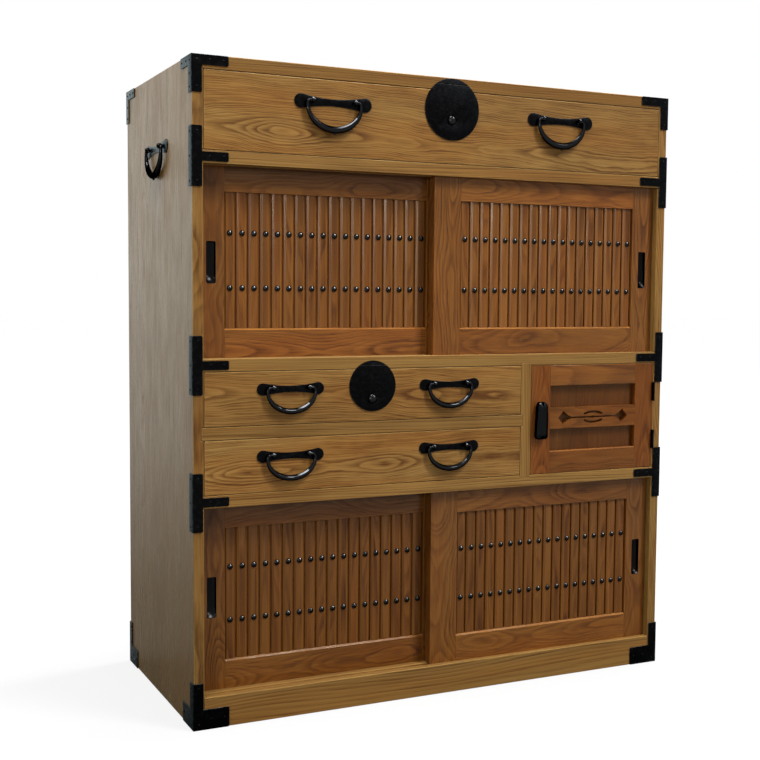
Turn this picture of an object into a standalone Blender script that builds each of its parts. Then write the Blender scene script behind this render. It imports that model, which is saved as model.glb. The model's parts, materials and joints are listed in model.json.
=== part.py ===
"""Merchant chest: a wooden carcass with three drawers, four slatted sliding doors, a small
hinged cupboard door and iron fittings. Metres, +Z up, front towards -Y, origin under the middle."""

import math

import bmesh
import bpy
from mathutils import Euler, Vector

# Carcass
chest_width = 0.910
chest_depth = 0.410
side_thickness = 0.0175
top_thickness = 0.021
back_thickness = 0.008
shelf_thickness = 0.020
base_height = 0.051
base_board_thickness = 0.014
sill_depth = 0.060
door_bay_height = 0.305
small_drawer_bay_height = 0.0885
top_drawer_bay_height = 0.124
cupboard_width = 0.270
partition_thickness = 0.0205
housing_depth = 0.004

# Clearances
joint_gap = 0.0003
drawer_gap = 0.001
drawer_run_gap = 0.0005
drawer_rear_gap = 0.008
door_end_gap = 0.001
door_shoulder_gap = 0.001
groove_gap = 0.0005
small_door_gap = 0.001
bore_gap = 0.0004
cut_margin = 0.010

# Sliding doors and their tracks
track_lip = 0.012
groove_width = 0.010
upper_groove_depth = 0.009
lower_groove_depth = 0.003
tongue_rise = 0.005
door_thickness = 0.018
door_spacing = 0.0055
door_overlap = 0.050
outer_stile = 0.045
meeting_stile = 0.052
door_top_rail = 0.040
door_bottom_rail = 0.047
rebate_width = 0.005
rebate_front = 0.0095
slat_count = 18
slat_gap = 0.003
slat_recess = 0.003
slat_chamfer = 0.003
slat_backing = 0.005
finger_pull_width = 0.015
finger_pull_height = 0.066
finger_pull_depth = 0.008

# Drawers
drawer_front_thickness = 0.019
drawer_wall = 0.010
drawer_bottom = 0.007
drawer_box_drop = 0.012
top_handle_spacing = 0.438
top_handle_rise = 0.0247
small_handle_spacing = 0.293
small_handle_rise = 0.0142

# Handles: plate with two eyes, and a bail thicker at its grip
plate_thickness = 0.0015
eye_reach = 0.0062
eye_rise = 0.002
eye_radius = 0.0048
eye_width = 0.005
pin_radius = 0.0025
pin_overhang = 0.0012
large_plate_length = 0.136
large_lobe_radius = 0.0115
large_waist = 0.011
large_eye_spacing = 0.0752
large_bail_width = 0.092
large_bail_drop = 0.044
large_grip_radius = 0.0045
small_plate_length = 0.116
small_lobe_radius = 0.010
small_waist = 0.010
small_eye_spacing = 0.0627
small_bail_width = 0.082
small_bail_drop = 0.038
small_grip_radius = 0.0040
side_handle_height = 0.938
side_handle_setback = 0.205
bail_shoulder = 0.006

# Locks
top_lock_radius = 0.052
top_lock_drop = 0.032
top_lock_split = 0.0098
top_button_drop = 0.018
small_lock_radius = 0.0425
small_lock_drop = 0.029
small_lock_split = 0.0054
small_button_drop = 0.0215
lock_case_width = 0.034
lock_case_height = 0.031
lock_case_depth = 0.013
button_radius = 0.0085
button_stem = 0.008
button_rise = 0.006
button_travel = 0.003
button_end_gap = 0.0005

# Irons
iron_thickness = 0.0015
iron_upright = 0.0155
iron_flange = 0.0165
iron_arm_length = 0.0585
iron_tab_length = 0.057
tee_height = 0.0935
tee_arm = 0.0146
top_iron_drop = 0.058
top_iron_arm = 0.016
foot_iron_rise = 0.076
foot_iron_arm = 0.033

# Small cupboard door
small_door_thickness = 0.018
small_door_stile = 0.040
small_door_top_rail = 0.037
small_door_bottom_rail = 0.040
fret_rail_height = 0.038
fret_rail_thickness = 0.009
small_panel_thickness = 0.005
small_panel_rebate = 0.006
fret_diamond_offset = 0.065
fret_diamond_width = 0.023
fret_diamond_height = 0.025
fret_slit = 0.0028
fret_flare_start = 0.0535
fret_flare_height = 0.0037
fret_flare_middle = 0.0488
fret_flare_neck = 0.0021
fret_flare_end = 0.0440
fret_lens_length = 0.010
fret_lens_height = 0.005
fret_arc_length = 0.040
fret_arc_sagitta = 0.004
fret_arc_rise = 0.0095
fret_arc_width = 0.004
hinge_height = 0.036
hinge_inset = 0.035
hinge_radius = 0.003
hinge_reach = 0.0035
hinge_leaf_thickness = 0.0015
hinge_leaf_depth = 0.014
hinge_leaf_inset = 0.001
pull_top_width = 0.020
pull_bottom_width = 0.0245
pull_length = 0.068
pull_thickness = 0.006
pull_pivot_reach = 0.006
pull_pivot_inset = 0.005
pull_drop = 0.064
pull_slot = 0.0056
staple_width = 0.0046
staple_height = 0.0036
staple_depth = 0.008
staple_pin_radius = 0.0016
staple_pin_length = 0.012

# Levels, from the floor up
lower_bay_top = base_height + door_bay_height
middle_bay_bottom = lower_bay_top + shelf_thickness
divider_bottom = middle_bay_bottom + small_drawer_bay_height
divider_top = divider_bottom + shelf_thickness
middle_bay_top = divider_top + small_drawer_bay_height
upper_bay_bottom = middle_bay_top + shelf_thickness
upper_bay_top = upper_bay_bottom + door_bay_height
top_bay_bottom = upper_bay_top + shelf_thickness
top_bay_top = top_bay_bottom + top_drawer_bay_height
chest_height = top_bay_top + top_thickness

# Widths and depths; the box round the chest and its bails is centred on the origin
half_width = chest_width / 2
inner_half = half_width - side_thickness
front_reach = eye_reach + eye_radius
front_y = (front_reach - chest_depth) / 2
back_y = front_y + chest_depth
shelf_back_y = back_y - back_thickness - joint_gap
cupboard_left = inner_half - cupboard_width
partition_left = cupboard_left - partition_thickness
door_width = inner_half - door_end_gap + door_overlap / 2
track_pitch = door_thickness + door_spacing

ARC_STEPS = 8
CIRCLE_STEPS = 40
ROUND_SIDES = 12


def clear_scene():
    for thing in list(bpy.data.objects):
        bpy.data.objects.remove(thing, do_unlink=True)


def make_collection(name):
    group = bpy.data.collections.new(name)
    bpy.context.scene.collection.children.link(group)
    return group


def make_material(name, color, roughness, metallic):
    material = bpy.data.materials.new(name)
    material.use_nodes = True
    shader = material.node_tree.nodes["Principled BSDF"]
    shader.inputs["Base Color"].default_value = (*color, 1.0)
    shader.inputs["Roughness"].default_value = roughness
    shader.inputs["Metallic"].default_value = metallic
    return material


clear_scene()
chest = make_collection("merchant_chest")
cutters = make_collection("cutters")
honey_wood = make_material("honey_wood", (0.36, 0.17, 0.055), 0.45, 0.0)
door_wood = make_material("door_wood", (0.22, 0.085, 0.03), 0.45, 0.0)
pale_wood = make_material("pale_wood", (0.50, 0.33, 0.17), 0.6, 0.0)
black_iron = make_material("black_iron", (0.012, 0.012, 0.013), 0.5, 0.9)


def place(piece, material, parent, at):
    """Links a piece to the chest, at a world place under its parent empty."""
    chest.objects.link(piece)
    piece.data.materials.append(material)
    piece.location = at
    if parent:
        piece.parent = parent
        piece.location = Vector(at) - parent.location
    return piece


def pivot(name, at):
    """An empty on a moving body's joint axis, or at its rest place."""
    empty = bpy.data.objects.new(name, None)
    empty.location = at
    chest.objects.link(empty)
    return empty


def box_mesh(name, low, high):
    size = Vector(high) - Vector(low)
    mesh = bpy.data.meshes.new(name)
    shape = bmesh.new()
    bmesh.ops.create_cube(shape, size=1.0)
    bmesh.ops.scale(shape, vec=size, verts=shape.verts)
    shape.to_mesh(mesh)
    shape.free()
    return mesh


def box(name, low, high, material, parent=None):
    piece = bpy.data.objects.new(name, box_mesh(name, low, high))
    return place(piece, material, parent, (Vector(low) + Vector(high)) / 2)


def as_cutter(piece):
    cutters.objects.link(piece)
    piece.hide_render = True
    piece.display_type = "WIRE"
    return piece


def box_cutter(name, low, high):
    piece = bpy.data.objects.new(name, box_mesh(name, low, high))
    piece.location = (Vector(low) + Vector(high)) / 2
    return as_cutter(piece)


def rod_mesh(name, radius, length):
    mesh = bpy.data.meshes.new(name)
    shape = bmesh.new()
    bmesh.ops.create_cone(shape, cap_ends=True, segments=ROUND_SIDES,
                          radius1=radius, radius2=radius, depth=length)
    shape.to_mesh(mesh)
    shape.free()
    return mesh


ALONG_X = Euler((0.0, math.pi / 2, 0.0))
ALONG_Y = Euler((math.pi / 2, 0.0, 0.0))


def rod_cutter(name, at, radius, length, turn):
    piece = bpy.data.objects.new(name, rod_mesh(name, radius, length))
    piece.location = at
    piece.rotation_euler = turn
    return as_cutter(piece)


FACING_FRONT = Euler((math.pi / 2, 0.0, 0.0))
FACING_LEFT = Euler((math.pi / 2, 0.0, -math.pi / 2))
FACING_RIGHT = Euler((math.pi / 2, 0.0, math.pi / 2))
STANDING = Euler((0.0, 0.0, 0.0))


def outline_mesh(name, points, thickness):
    """A flat outline, filled and given its thickness, as one closed mesh."""
    curve = bpy.data.curves.new(name + "_outline", "CURVE")
    curve.dimensions = "2D"
    curve.fill_mode = "BOTH"
    curve.extrude = thickness / 2
    spline = curve.splines.new("POLY")
    spline.points.add(len(points) - 1)
    for point, (x, y) in zip(spline.points, points):
        point.co = (x, y, 0.0, 1.0)
    spline.use_cyclic_u = True
    drawn = bpy.data.objects.new(name + "_outline", curve)
    cutters.objects.link(drawn)
    bpy.context.view_layer.update()
    evaluated = drawn.evaluated_get(bpy.context.evaluated_depsgraph_get())
    mesh = bpy.data.meshes.new_from_object(evaluated)
    mesh.name = name
    bpy.data.objects.remove(drawn, do_unlink=True)
    shape = bmesh.new()
    shape.from_mesh(mesh)
    bmesh.ops.remove_doubles(shape, verts=shape.verts, dist=1e-6)
    bmesh.ops.recalc_face_normals(shape, faces=shape.faces)
    shape.to_mesh(mesh)
    shape.free()
    return mesh


def outline_cutter(name, points, thickness, at, turn):
    piece = bpy.data.objects.new(name, outline_mesh(name, points, thickness))
    piece.location = at
    piece.rotation_euler = turn
    return as_cutter(piece)


def boolean(piece, tool, operation):
    change = piece.modifiers.new(tool.name, "BOOLEAN")
    change.operation = operation
    change.object = tool


def cut(piece, tool):
    boolean(piece, tool, "DIFFERENCE")


def join(piece, tool):
    boolean(piece, tool, "UNION")


def arc(center, radius, start, end, steps):
    """Points on a circle's arc, from one angle to another in degrees."""
    points = []
    for step in range(steps + 1):
        angle = math.radians(start + (end - start) * step / steps)
        points.append((center[0] + radius * math.cos(angle), center[1] + radius * math.sin(angle)))
    return points


# Carcass

def side_board(name, side, levels):
    """A side with a mitred top edge, housed out for the boards that end in it."""
    low = (min(side * half_width, side * inner_half), front_y, 0.0)
    high = (max(side * half_width, side * inner_half), back_y, chest_height)
    board = box(name, low, high, honey_wood)
    for vertex in board.data.vertices:
        if vertex.co.x * side < 0 and vertex.co.z > 0:
            vertex.co.z -= top_thickness
    for level in levels:
        far = side * (inner_half + housing_depth)
        near = side * (inner_half - cut_margin)
        cut(board, box_cutter(
            f"{name}_housing_{round(level * 1000)}",
            (min(far, near), front_y - cut_margin, level - joint_gap),
            (max(far, near), shelf_back_y + joint_gap, level + shelf_thickness + joint_gap)))


def top_board():
    """The top, mitred at both ends to meet the sides."""
    edge = half_width - joint_gap
    board = box("top_board", (-edge, front_y, top_bay_top), (edge, back_y, chest_height), honey_wood)
    for vertex in board.data.vertices:
        if vertex.co.z < 0:
            vertex.co.x -= math.copysign(side_thickness, vertex.co.x)


def shelf(name, bottom):
    reach = inner_half + housing_depth - joint_gap
    return box(name, (-reach, front_y, bottom), (reach, shelf_back_y, bottom + shelf_thickness), honey_wood)


def door_tracks(piece, level, depth):
    """Two grooves for sliding doors; a positive depth cuts upwards from the level."""
    for track in range(2):
        groove_front = front_y + track_lip + track * track_pitch
        low_z = min(level - math.copysign(cut_margin, depth), level + depth)
        high_z = max(level - math.copysign(cut_margin, depth), level + depth)
        cut(piece, box_cutter(
            f"{piece.name}_groove_{track}_{round(level * 1000)}",
            (-half_width, groove_front, low_z),
            (half_width, groove_front + groove_width, high_z)))


def partition_housing(piece, low_z, high_z):
    cut(piece, box_cutter(
        f"{piece.name}_partition_housing",
        (partition_left - joint_gap, front_y - cut_margin, low_z),
        (cupboard_left + joint_gap, shelf_back_y + cut_margin, high_z)))


shelf_levels = (lower_bay_top, middle_bay_top, upper_bay_top)
side_board("left_side", -1, shelf_levels + (divider_bottom,))
side_board("right_side", 1, shelf_levels)
top_board()
box(
    "back_panel",
    (-inner_half + joint_gap, back_y - back_thickness, 0.0),
    (inner_half - joint_gap, back_y, top_bay_top - joint_gap), pale_wood)

upper_shelf = shelf("upper_shelf", upper_bay_top)
door_tracks(upper_shelf, upper_bay_top, upper_groove_depth)
middle_shelf = shelf("middle_shelf", middle_bay_top)
door_tracks(middle_shelf, upper_bay_bottom, -lower_groove_depth)
partition_housing(middle_shelf, middle_bay_top - cut_margin, middle_bay_top + housing_depth)
lower_shelf = shelf("lower_shelf", lower_bay_top)
door_tracks(lower_shelf, lower_bay_top, upper_groove_depth)
partition_housing(lower_shelf, middle_bay_bottom - housing_depth, middle_bay_bottom + cut_margin)

partition = box(
    "partition",
    (partition_left, front_y, middle_bay_bottom - housing_depth + joint_gap),
    (cupboard_left, shelf_back_y, middle_bay_top + housing_depth - joint_gap), honey_wood)
cut(partition, box_cutter(
    "partition_divider_housing",
    (partition_left - cut_margin, front_y - cut_margin, divider_bottom - joint_gap),
    (partition_left + housing_depth, shelf_back_y + cut_margin, divider_top + joint_gap)))
box("drawer_divider",
    (-inner_half - housing_depth + joint_gap, front_y, divider_bottom),
    (partition_left + housing_depth - joint_gap, shelf_back_y, divider_top), honey_wood)

base = box(
    "base",
    (-inner_half + joint_gap, front_y, 0.0),
    (inner_half - joint_gap, shelf_back_y, base_height), honey_wood)
cut(base, box_cutter(
    "base_underside",
    (-half_width, front_y + sill_depth, -cut_margin),
    (half_width, back_y + cut_margin, base_height - base_board_thickness)))
door_tracks(base, base_height, -lower_groove_depth)


# Irons on the front edges

def iron(name, side, low_z, high_z, arm_low, arm_high, has_tab):
    """A plate folded round the front edge, with an arm along the rail and a tab along the side."""
    inner_x = half_width + joint_gap
    outer_x = inner_x + iron_thickness
    inner_y = front_y - joint_gap
    outer_y = inner_y - iron_thickness
    plan = [
        ((half_width - iron_arm_length, outer_y), (half_width - iron_arm_length, inner_y)),
        ((half_width - iron_upright, outer_y), (half_width - iron_upright, inner_y)),
        ((outer_x, outer_y), (inner_x, inner_y)),
        ((outer_x, front_y + iron_flange), (inner_x, front_y + iron_flange)),
        ((outer_x, front_y + iron_tab_length), (inner_x, front_y + iron_tab_length)),
    ]
    levels = sorted({low_z, arm_low, arm_high, high_z})
    columns = range(len(plan) - 1)
    rows = range(len(levels) - 1)
    arm_row = levels.index(arm_low)
    wide = set(columns) if has_tab else set(columns) - {len(plan) - 2}
    cells = {(column, row) for row in rows for column in (wide if row == arm_row else (1, 2))}
    mesh = bpy.data.meshes.new(name)
    shape = bmesh.new()
    corners = {}

    def corner(column, row, layer):
        key = (column, row, layer)
        if key not in corners:
            x, y = plan[column][layer]
            corners[key] = shape.verts.new((side * x, y, levels[row]))
        return corners[key]

    for column, row in sorted(cells):
        ring = [(column, row), (column + 1, row), (column + 1, row + 1), (column, row + 1)]
        neighbours = [(column, row - 1), (column + 1, row), (column, row + 1), (column - 1, row)]
        for layer in range(2):
            shape.faces.new([corner(*point, layer) for point in ring])
        for edge, neighbour in enumerate(neighbours):
            if neighbour not in cells:
                start = ring[edge]
                end = ring[(edge + 1) % 4]
                shape.faces.new([corner(*start, 0), corner(*end, 0), corner(*end, 1), corner(*start, 1)])
    bmesh.ops.recalc_face_normals(shape, faces=shape.faces)
    shape.to_mesh(mesh)
    shape.free()
    place(bpy.data.objects.new(name, mesh), black_iron, None, (0.0, 0.0, 0.0))


for side, word in ((-1, "left"), (1, "right")):
    iron(f"iron_top_{word}", side, chest_height - top_iron_drop, chest_height,
         chest_height - top_iron_arm, chest_height, True)
    iron(f"iron_foot_{word}", side, 0.0, foot_iron_rise, 0.0, foot_iron_arm, True)
    for level, bottom in (("upper", upper_bay_top), ("middle", middle_bay_top), ("lower", lower_bay_top)):
        center = bottom + shelf_thickness / 2
        iron(f"iron_{level}_{word}", side, center - tee_height / 2, center + tee_height / 2,
             center - tee_arm / 2, center + tee_arm / 2, False)


# Handles

def handle_plate_points(length, lobe_radius, waist):
    """A dog-bone: two round lobes joined by a narrower waist."""
    offset = length / 2 - lobe_radius
    open_angle = math.degrees(math.asin(waist / 2 / lobe_radius))
    right = arc((offset, 0.0), lobe_radius, -150.0, 150.0, ARC_STEPS)
    left = arc((-offset, 0.0), lobe_radius, 30.0, 330.0, ARC_STEPS)
    middle_x = (offset - lobe_radius * math.cos(math.radians(open_angle))) / 2
    top = [(middle_x, waist / 2), (-middle_x, waist / 2)]
    bottom = [(-middle_x, -waist / 2), (middle_x, -waist / 2)]
    return right + top + left + bottom


def bail_points(eye_spacing, width, drop, grip_radius):
    """Half of the bail's path and its radius at each point, from a pin end to the grip's middle."""
    eye = eye_spacing / 2
    pin_end = eye - eye_width / 2 - pin_overhang
    points = [(pin_end, 0.0, pin_radius), (width / 2 - bail_shoulder, 0.0, pin_radius)]
    for x, z in arc((width / 2 - bail_shoulder, -bail_shoulder), bail_shoulder, 60.0, 0.0, 2):
        points.append((x, z, pin_radius))
    steps = 6
    for step in range(1, steps + 1):
        angle = math.pi / 2 * step / steps
        swell = math.sin(angle)
        points.append((width / 2 * math.cos(angle),
                       -bail_shoulder - (drop - bail_shoulder) * math.sin(angle),
                       pin_radius + (grip_radius - pin_radius) * swell))
    return points


def bail(name, spacing, width, drop, grip_radius, turn, parent):
    half = bail_points(spacing, width, drop, grip_radius)
    whole = [(-x, z, radius) for x, z, radius in half] + half[-2::-1]
    curve = bpy.data.curves.new(name, "CURVE")
    curve.dimensions = "3D"
    curve.bevel_depth = pin_radius
    curve.bevel_resolution = 2
    curve.use_fill_caps = True
    spline = curve.splines.new("POLY")
    spline.points.add(len(whole) - 1)
    for point, (x, z, radius) in zip(spline.points, whole):
        point.co = (x, z, 0.0, 1.0)
        point.radius = radius / pin_radius
    piece = bpy.data.objects.new(name, curve)
    place(piece, black_iron, parent, parent.location)
    piece.rotation_euler = turn
    return piece


def handle(name, at, outward, turn, sizes, parent):
    """A plate with two bored eyes at a point of a face, and the bail in the eyes."""
    length, lobe_radius, waist, spacing, width, drop, grip_radius = sizes
    along = Vector((outward.y, outward.x, 0.0))
    up = Vector((0.0, 0.0, 1.0))
    rod_turn = ALONG_X if abs(along.x) > 0.5 else ALONG_Y
    plate_at = Vector(at) + outward * (joint_gap + plate_thickness / 2)
    eye_at = Vector(at) + outward * eye_reach + up * eye_rise
    points = handle_plate_points(length, lobe_radius, waist)
    plate = bpy.data.objects.new(f"{name}_plate", outline_mesh(f"{name}_plate", points, plate_thickness))
    place(plate, black_iron, parent, plate_at)
    plate.rotation_euler = turn
    for end in (-1, 1):
        middle = eye_at + along * (end * spacing / 2)
        join(plate, rod_cutter(f"{name}_eye_{end}", middle, eye_radius, eye_width, rod_turn))
    cut(plate, rod_cutter(f"{name}_bore", eye_at, pin_radius + bore_gap, length, rod_turn))
    hinge = pivot(f"{name}_hinge", eye_at)
    bail(f"{name}_bail", spacing, width, drop, grip_radius, turn, hinge)
    if parent:
        hinge.parent = parent
        hinge.location = eye_at - parent.location


large_handle = (large_plate_length, large_lobe_radius, large_waist, large_eye_spacing,
                large_bail_width, large_bail_drop, large_grip_radius)
small_handle = (small_plate_length, small_lobe_radius, small_waist, small_eye_spacing,
                small_bail_width, small_bail_drop, small_grip_radius)
side_handle_y = front_y + side_handle_setback
handle("left_handle", (-half_width, side_handle_y, side_handle_height), Vector((-1.0, 0.0, 0.0)),
       FACING_LEFT, large_handle, None)
handle("right_handle", (half_width, side_handle_y, side_handle_height), Vector((1.0, 0.0, 0.0)),
       FACING_RIGHT, large_handle, None)


# Locks

def lock(name, center_x, center_z, radius, split, button_drop, front, parent):
    """A round plate cut off along a straight split, its case in the drawer front and its button."""
    face_y = front_y - joint_gap
    chord = math.degrees(math.asin(split / radius))
    points = arc((0.0, 0.0), radius, -180.0 - chord, chord, CIRCLE_STEPS)
    plate = bpy.data.objects.new(name, outline_mesh(name, points, plate_thickness))
    place(plate, black_iron, parent, (center_x, face_y - plate_thickness / 2, center_z))
    plate.rotation_euler = FACING_FRONT
    button_z = center_z - button_drop
    case_low = Vector((center_x - lock_case_width / 2, face_y - plate_thickness / 2,
                       button_z - lock_case_height / 2))
    case_high = Vector((center_x + lock_case_width / 2, front_y + lock_case_depth,
                        button_z + lock_case_height / 2))
    join(plate, box_cutter(f"{name}_case", case_low, case_high))
    bore_depth = button_stem + button_travel + button_end_gap
    cut(plate, rod_cutter(
        f"{name}_bore",
        (center_x, face_y - plate_thickness + (bore_depth - cut_margin) / 2, button_z),
        button_radius + bore_gap, bore_depth + cut_margin, ALONG_Y))
    gap = Vector((joint_gap, cut_margin, joint_gap))
    cut(front, box_cutter(f"{name}_mortise", case_low - gap,
                          case_high + Vector((joint_gap, joint_gap, joint_gap))))
    push_button(f"{name}_button", (center_x, face_y - plate_thickness, button_z), parent)


def push_button(name, at, parent):
    """A short stem with a domed head, turned about the axis that it slides along."""
    profile = [(0.0, button_rise)]
    for x, z in arc((0.0, 0.0), 1.0, 70.0, 0.0, 4):
        profile.append((button_radius * x, button_rise * z))
    profile.append((button_radius, -button_stem))
    profile.append((0.0, -button_stem))
    mesh = bpy.data.meshes.new(name)
    shape = bmesh.new()
    verts = [shape.verts.new((x, 0.0, z)) for x, z in profile]
    for first, second in zip(verts, verts[1:]):
        shape.edges.new((first, second))
    shape.to_mesh(mesh)
    shape.free()
    piece = bpy.data.objects.new(name, mesh)
    place(piece, black_iron, parent, at)
    piece.rotation_euler = FACING_FRONT
    turned = piece.modifiers.new("turned", "SCREW")
    turned.axis = "Z"
    turned.steps = ROUND_SIDES
    turned.render_steps = ROUND_SIDES
    turned.use_merge_vertices = True
    turned.merge_threshold = 0.00001


# Drawers

def drawer(name, low_x, high_x, low_z, high_z, spacing, rise, sizes):
    """A drawer front and its open box, with two handles; returns what a lock needs."""
    parent = pivot(name, ((low_x + high_x) / 2, front_y, (low_z + high_z) / 2))
    front = box(
        f"{name}_front",
        (low_x + drawer_gap, front_y, low_z + drawer_gap),
        (high_x - drawer_gap, front_y + drawer_front_thickness, high_z - drawer_gap), honey_wood, parent)
    box_low = Vector((low_x + drawer_gap, front_y + drawer_front_thickness + joint_gap,
                      low_z + drawer_run_gap))
    box_high = Vector((high_x - drawer_gap, shelf_back_y - drawer_rear_gap, high_z - drawer_box_drop))
    tray = box(f"{name}_box", box_low, box_high, pale_wood, parent)
    cut(tray, box_cutter(
        f"{name}_hollow",
        box_low + Vector((drawer_wall, -cut_margin, drawer_bottom)),
        box_high + Vector((-drawer_wall, -drawer_wall, cut_margin))))
    middle_x = (low_x + high_x) / 2
    middle_z = (low_z + high_z) / 2 + rise
    for end, word in ((-1, "left"), (1, "right")):
        handle(f"{name}_{word}", (middle_x + end * spacing / 2, front_y, middle_z),
               Vector((0.0, -1.0, 0.0)), FACING_FRONT, sizes, parent)
    return front, parent, middle_x


top_front, top_parent, top_middle = drawer(
    "top_drawer", -inner_half, inner_half, top_bay_bottom, top_bay_top,
    top_handle_spacing, top_handle_rise, large_handle)
lock("top_drawer_lock", top_middle, top_bay_top - top_lock_drop, top_lock_radius,
     top_lock_drop + top_lock_split, top_button_drop, top_front, top_parent)
upper_front, upper_parent, upper_middle = drawer(
    "upper_drawer", -inner_half, partition_left, divider_top, middle_bay_top,
    small_handle_spacing, small_handle_rise, small_handle)
lock("upper_drawer_lock", upper_middle, middle_bay_top - small_lock_drop, small_lock_radius,
     small_lock_drop + small_lock_split, small_button_drop, upper_front, upper_parent)
drawer("lower_drawer", -inner_half, partition_left, middle_bay_bottom, divider_bottom,
       small_handle_spacing, small_handle_rise, small_handle)


# Sliding doors

def slat_points(width):
    """The slats in plan: a row of chamfered bars on a thin common back."""
    pitch = width / slat_count
    root = rebate_front - slat_recess + joint_gap + slat_backing / 4
    back = root + slat_backing / 4
    points = [(width / 2, back), (-width / 2, back)]
    for slat in range(slat_count):
        left = -width / 2 + slat * pitch
        right = left + pitch
        inset = slat_gap / 2 if slat else 0.0
        outset = slat_gap / 2 if slat < slat_count - 1 else 0.0
        points.append((left + inset, root))
        points.append((left + inset, slat_chamfer))
        points.append((left + inset + slat_chamfer, 0.0))
        points.append((right - outset - slat_chamfer, 0.0))
        points.append((right - outset, slat_chamfer))
        points.append((right - outset, root))
    return [point for index, point in enumerate(points) if index == 0 or point != points[index - 1]]


def sliding_door(name, bay_bottom, side, track):
    """A frame with tongues in the tracks, a pocket for the fingers, and its slat panel."""
    outer_x = side * (inner_half - door_end_gap)
    meeting_x = outer_x - side * door_width
    door_front = front_y + track_lip + track * track_pitch + groove_gap
    door_back = door_front + door_thickness
    tongue_back = door_front + groove_width - 2 * groove_gap
    bay_top = bay_bottom + door_bay_height
    low_z = bay_bottom - lower_groove_depth + groove_gap
    high_z = bay_top + tongue_rise
    low_x = min(outer_x, meeting_x)
    high_x = max(outer_x, meeting_x)
    parent = pivot(name, ((low_x + high_x) / 2, door_front, bay_bottom))
    frame = box(f"{name}_frame", (low_x, door_front, low_z), (high_x, door_back, high_z), door_wood, parent)
    cut(frame, box_cutter(
        f"{name}_foot_shoulder", (low_x - cut_margin, tongue_back, low_z - cut_margin),
        (high_x + cut_margin, door_back + cut_margin, bay_bottom + door_shoulder_gap)))
    cut(frame, box_cutter(
        f"{name}_head_shoulder", (low_x - cut_margin, tongue_back, bay_top - door_shoulder_gap),
        (high_x + cut_margin, door_back + cut_margin, high_z + cut_margin)))
    field_outer = outer_x - side * outer_stile
    field_inner = meeting_x + side * meeting_stile
    field_low = Vector((min(field_outer, field_inner), door_front, bay_bottom + door_bottom_rail))
    field_high = Vector((max(field_outer, field_inner), door_front, bay_top - door_top_rail))
    through = Vector((0.0, door_thickness + cut_margin, 0.0))
    cut(frame, box_cutter(f"{name}_field", field_low - through, field_high + through))
    seat_y = door_front + rebate_front
    rim = Vector((rebate_width, 0.0, rebate_width))
    rebate_low = Vector((field_low.x, seat_y, field_low.z)) - rim
    rebate_high = Vector((field_high.x, door_back + cut_margin, field_high.z)) + rim
    cut(frame, box_cutter(f"{name}_rebate", rebate_low, rebate_high))
    pull_x = outer_x - side * outer_stile / 2
    pull_z = (bay_bottom + bay_top) / 2
    cut(frame, box_cutter(
        f"{name}_finger_pull",
        (pull_x - finger_pull_width / 2, door_front - cut_margin, pull_z - finger_pull_height / 2),
        (pull_x + finger_pull_width / 2, door_front + finger_pull_depth, pull_z + finger_pull_height / 2)))
    fit = Vector((joint_gap, 0.0, joint_gap))
    backing_low = rebate_low + fit + Vector((0.0, joint_gap, 0.0))
    backing_high = Vector((rebate_high.x, seat_y + joint_gap + slat_backing, rebate_high.z)) - fit
    panel = box(f"{name}_slats", backing_low, backing_high, door_wood, parent)
    slats_width = field_high.x - field_low.x - 2 * joint_gap
    slats_height = field_high.z - field_low.z - 2 * joint_gap
    join(panel, outline_cutter(
        f"{name}_slat_row", slat_points(slats_width), slats_height,
        ((field_low.x + field_high.x) / 2, door_front + slat_recess, (field_low.z + field_high.z) / 2),
        STANDING))


for level, bottom in (("upper", upper_bay_bottom), ("lower", base_height)):
    sliding_door(f"{level}_left_door", bottom, -1, 1)
    sliding_door(f"{level}_right_door", bottom, 1, 0)


# Small cupboard door

door_low_x = cupboard_left + small_door_gap
door_high_x = inner_half - small_door_gap
door_low_z = middle_bay_bottom + small_door_gap
door_high_z = middle_bay_top - small_door_gap
window_low_x = door_low_x + small_door_stile
window_high_x = door_high_x - small_door_stile
window_low_z = door_low_z + small_door_bottom_rail
window_high_z = door_high_z - small_door_top_rail
fret_center_x = (window_low_x + window_high_x) / 2
fret_center_z = (window_low_z + window_high_z) / 2
hinge_x = inner_half - small_door_gap - joint_gap
hinge_y = front_y - hinge_reach


def fret_outline():
    """Two diamonds that narrow in a curve to a slit, which swells to a lens in the middle."""
    half_slit = fret_slit / 2
    tip = fret_diamond_offset + fret_diamond_width / 2
    right = [(0.0, fret_lens_height / 2), (fret_lens_length / 2, half_slit), (fret_flare_end, half_slit),
             (fret_flare_middle, fret_flare_neck),
             (fret_flare_start, fret_flare_height), (fret_diamond_offset, fret_diamond_height / 2)]
    left = [(-x, z) for x, z in reversed(right[1:])]
    upper = left + right
    lower = [(-x, -z) for x, z in upper]
    return [(-tip, 0.0)] + upper + [(tip, 0.0)] + lower


def fret_arc(flip):
    """A curved slot above or below the lens."""
    radius = ((fret_arc_length / 2) ** 2 + fret_arc_sagitta ** 2) / (2 * fret_arc_sagitta)
    spread = math.degrees(math.asin(fret_arc_length / 2 / radius))
    center = (0.0, fret_arc_rise - radius)
    outer = arc(center, radius + fret_arc_width / 2, 90.0 - spread, 90.0 + spread, ARC_STEPS)
    inner = arc(center, radius - fret_arc_width / 2, 90.0 + spread, 90.0 - spread, ARC_STEPS)
    return [(x, z * flip) for x, z in outer + inner]


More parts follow.
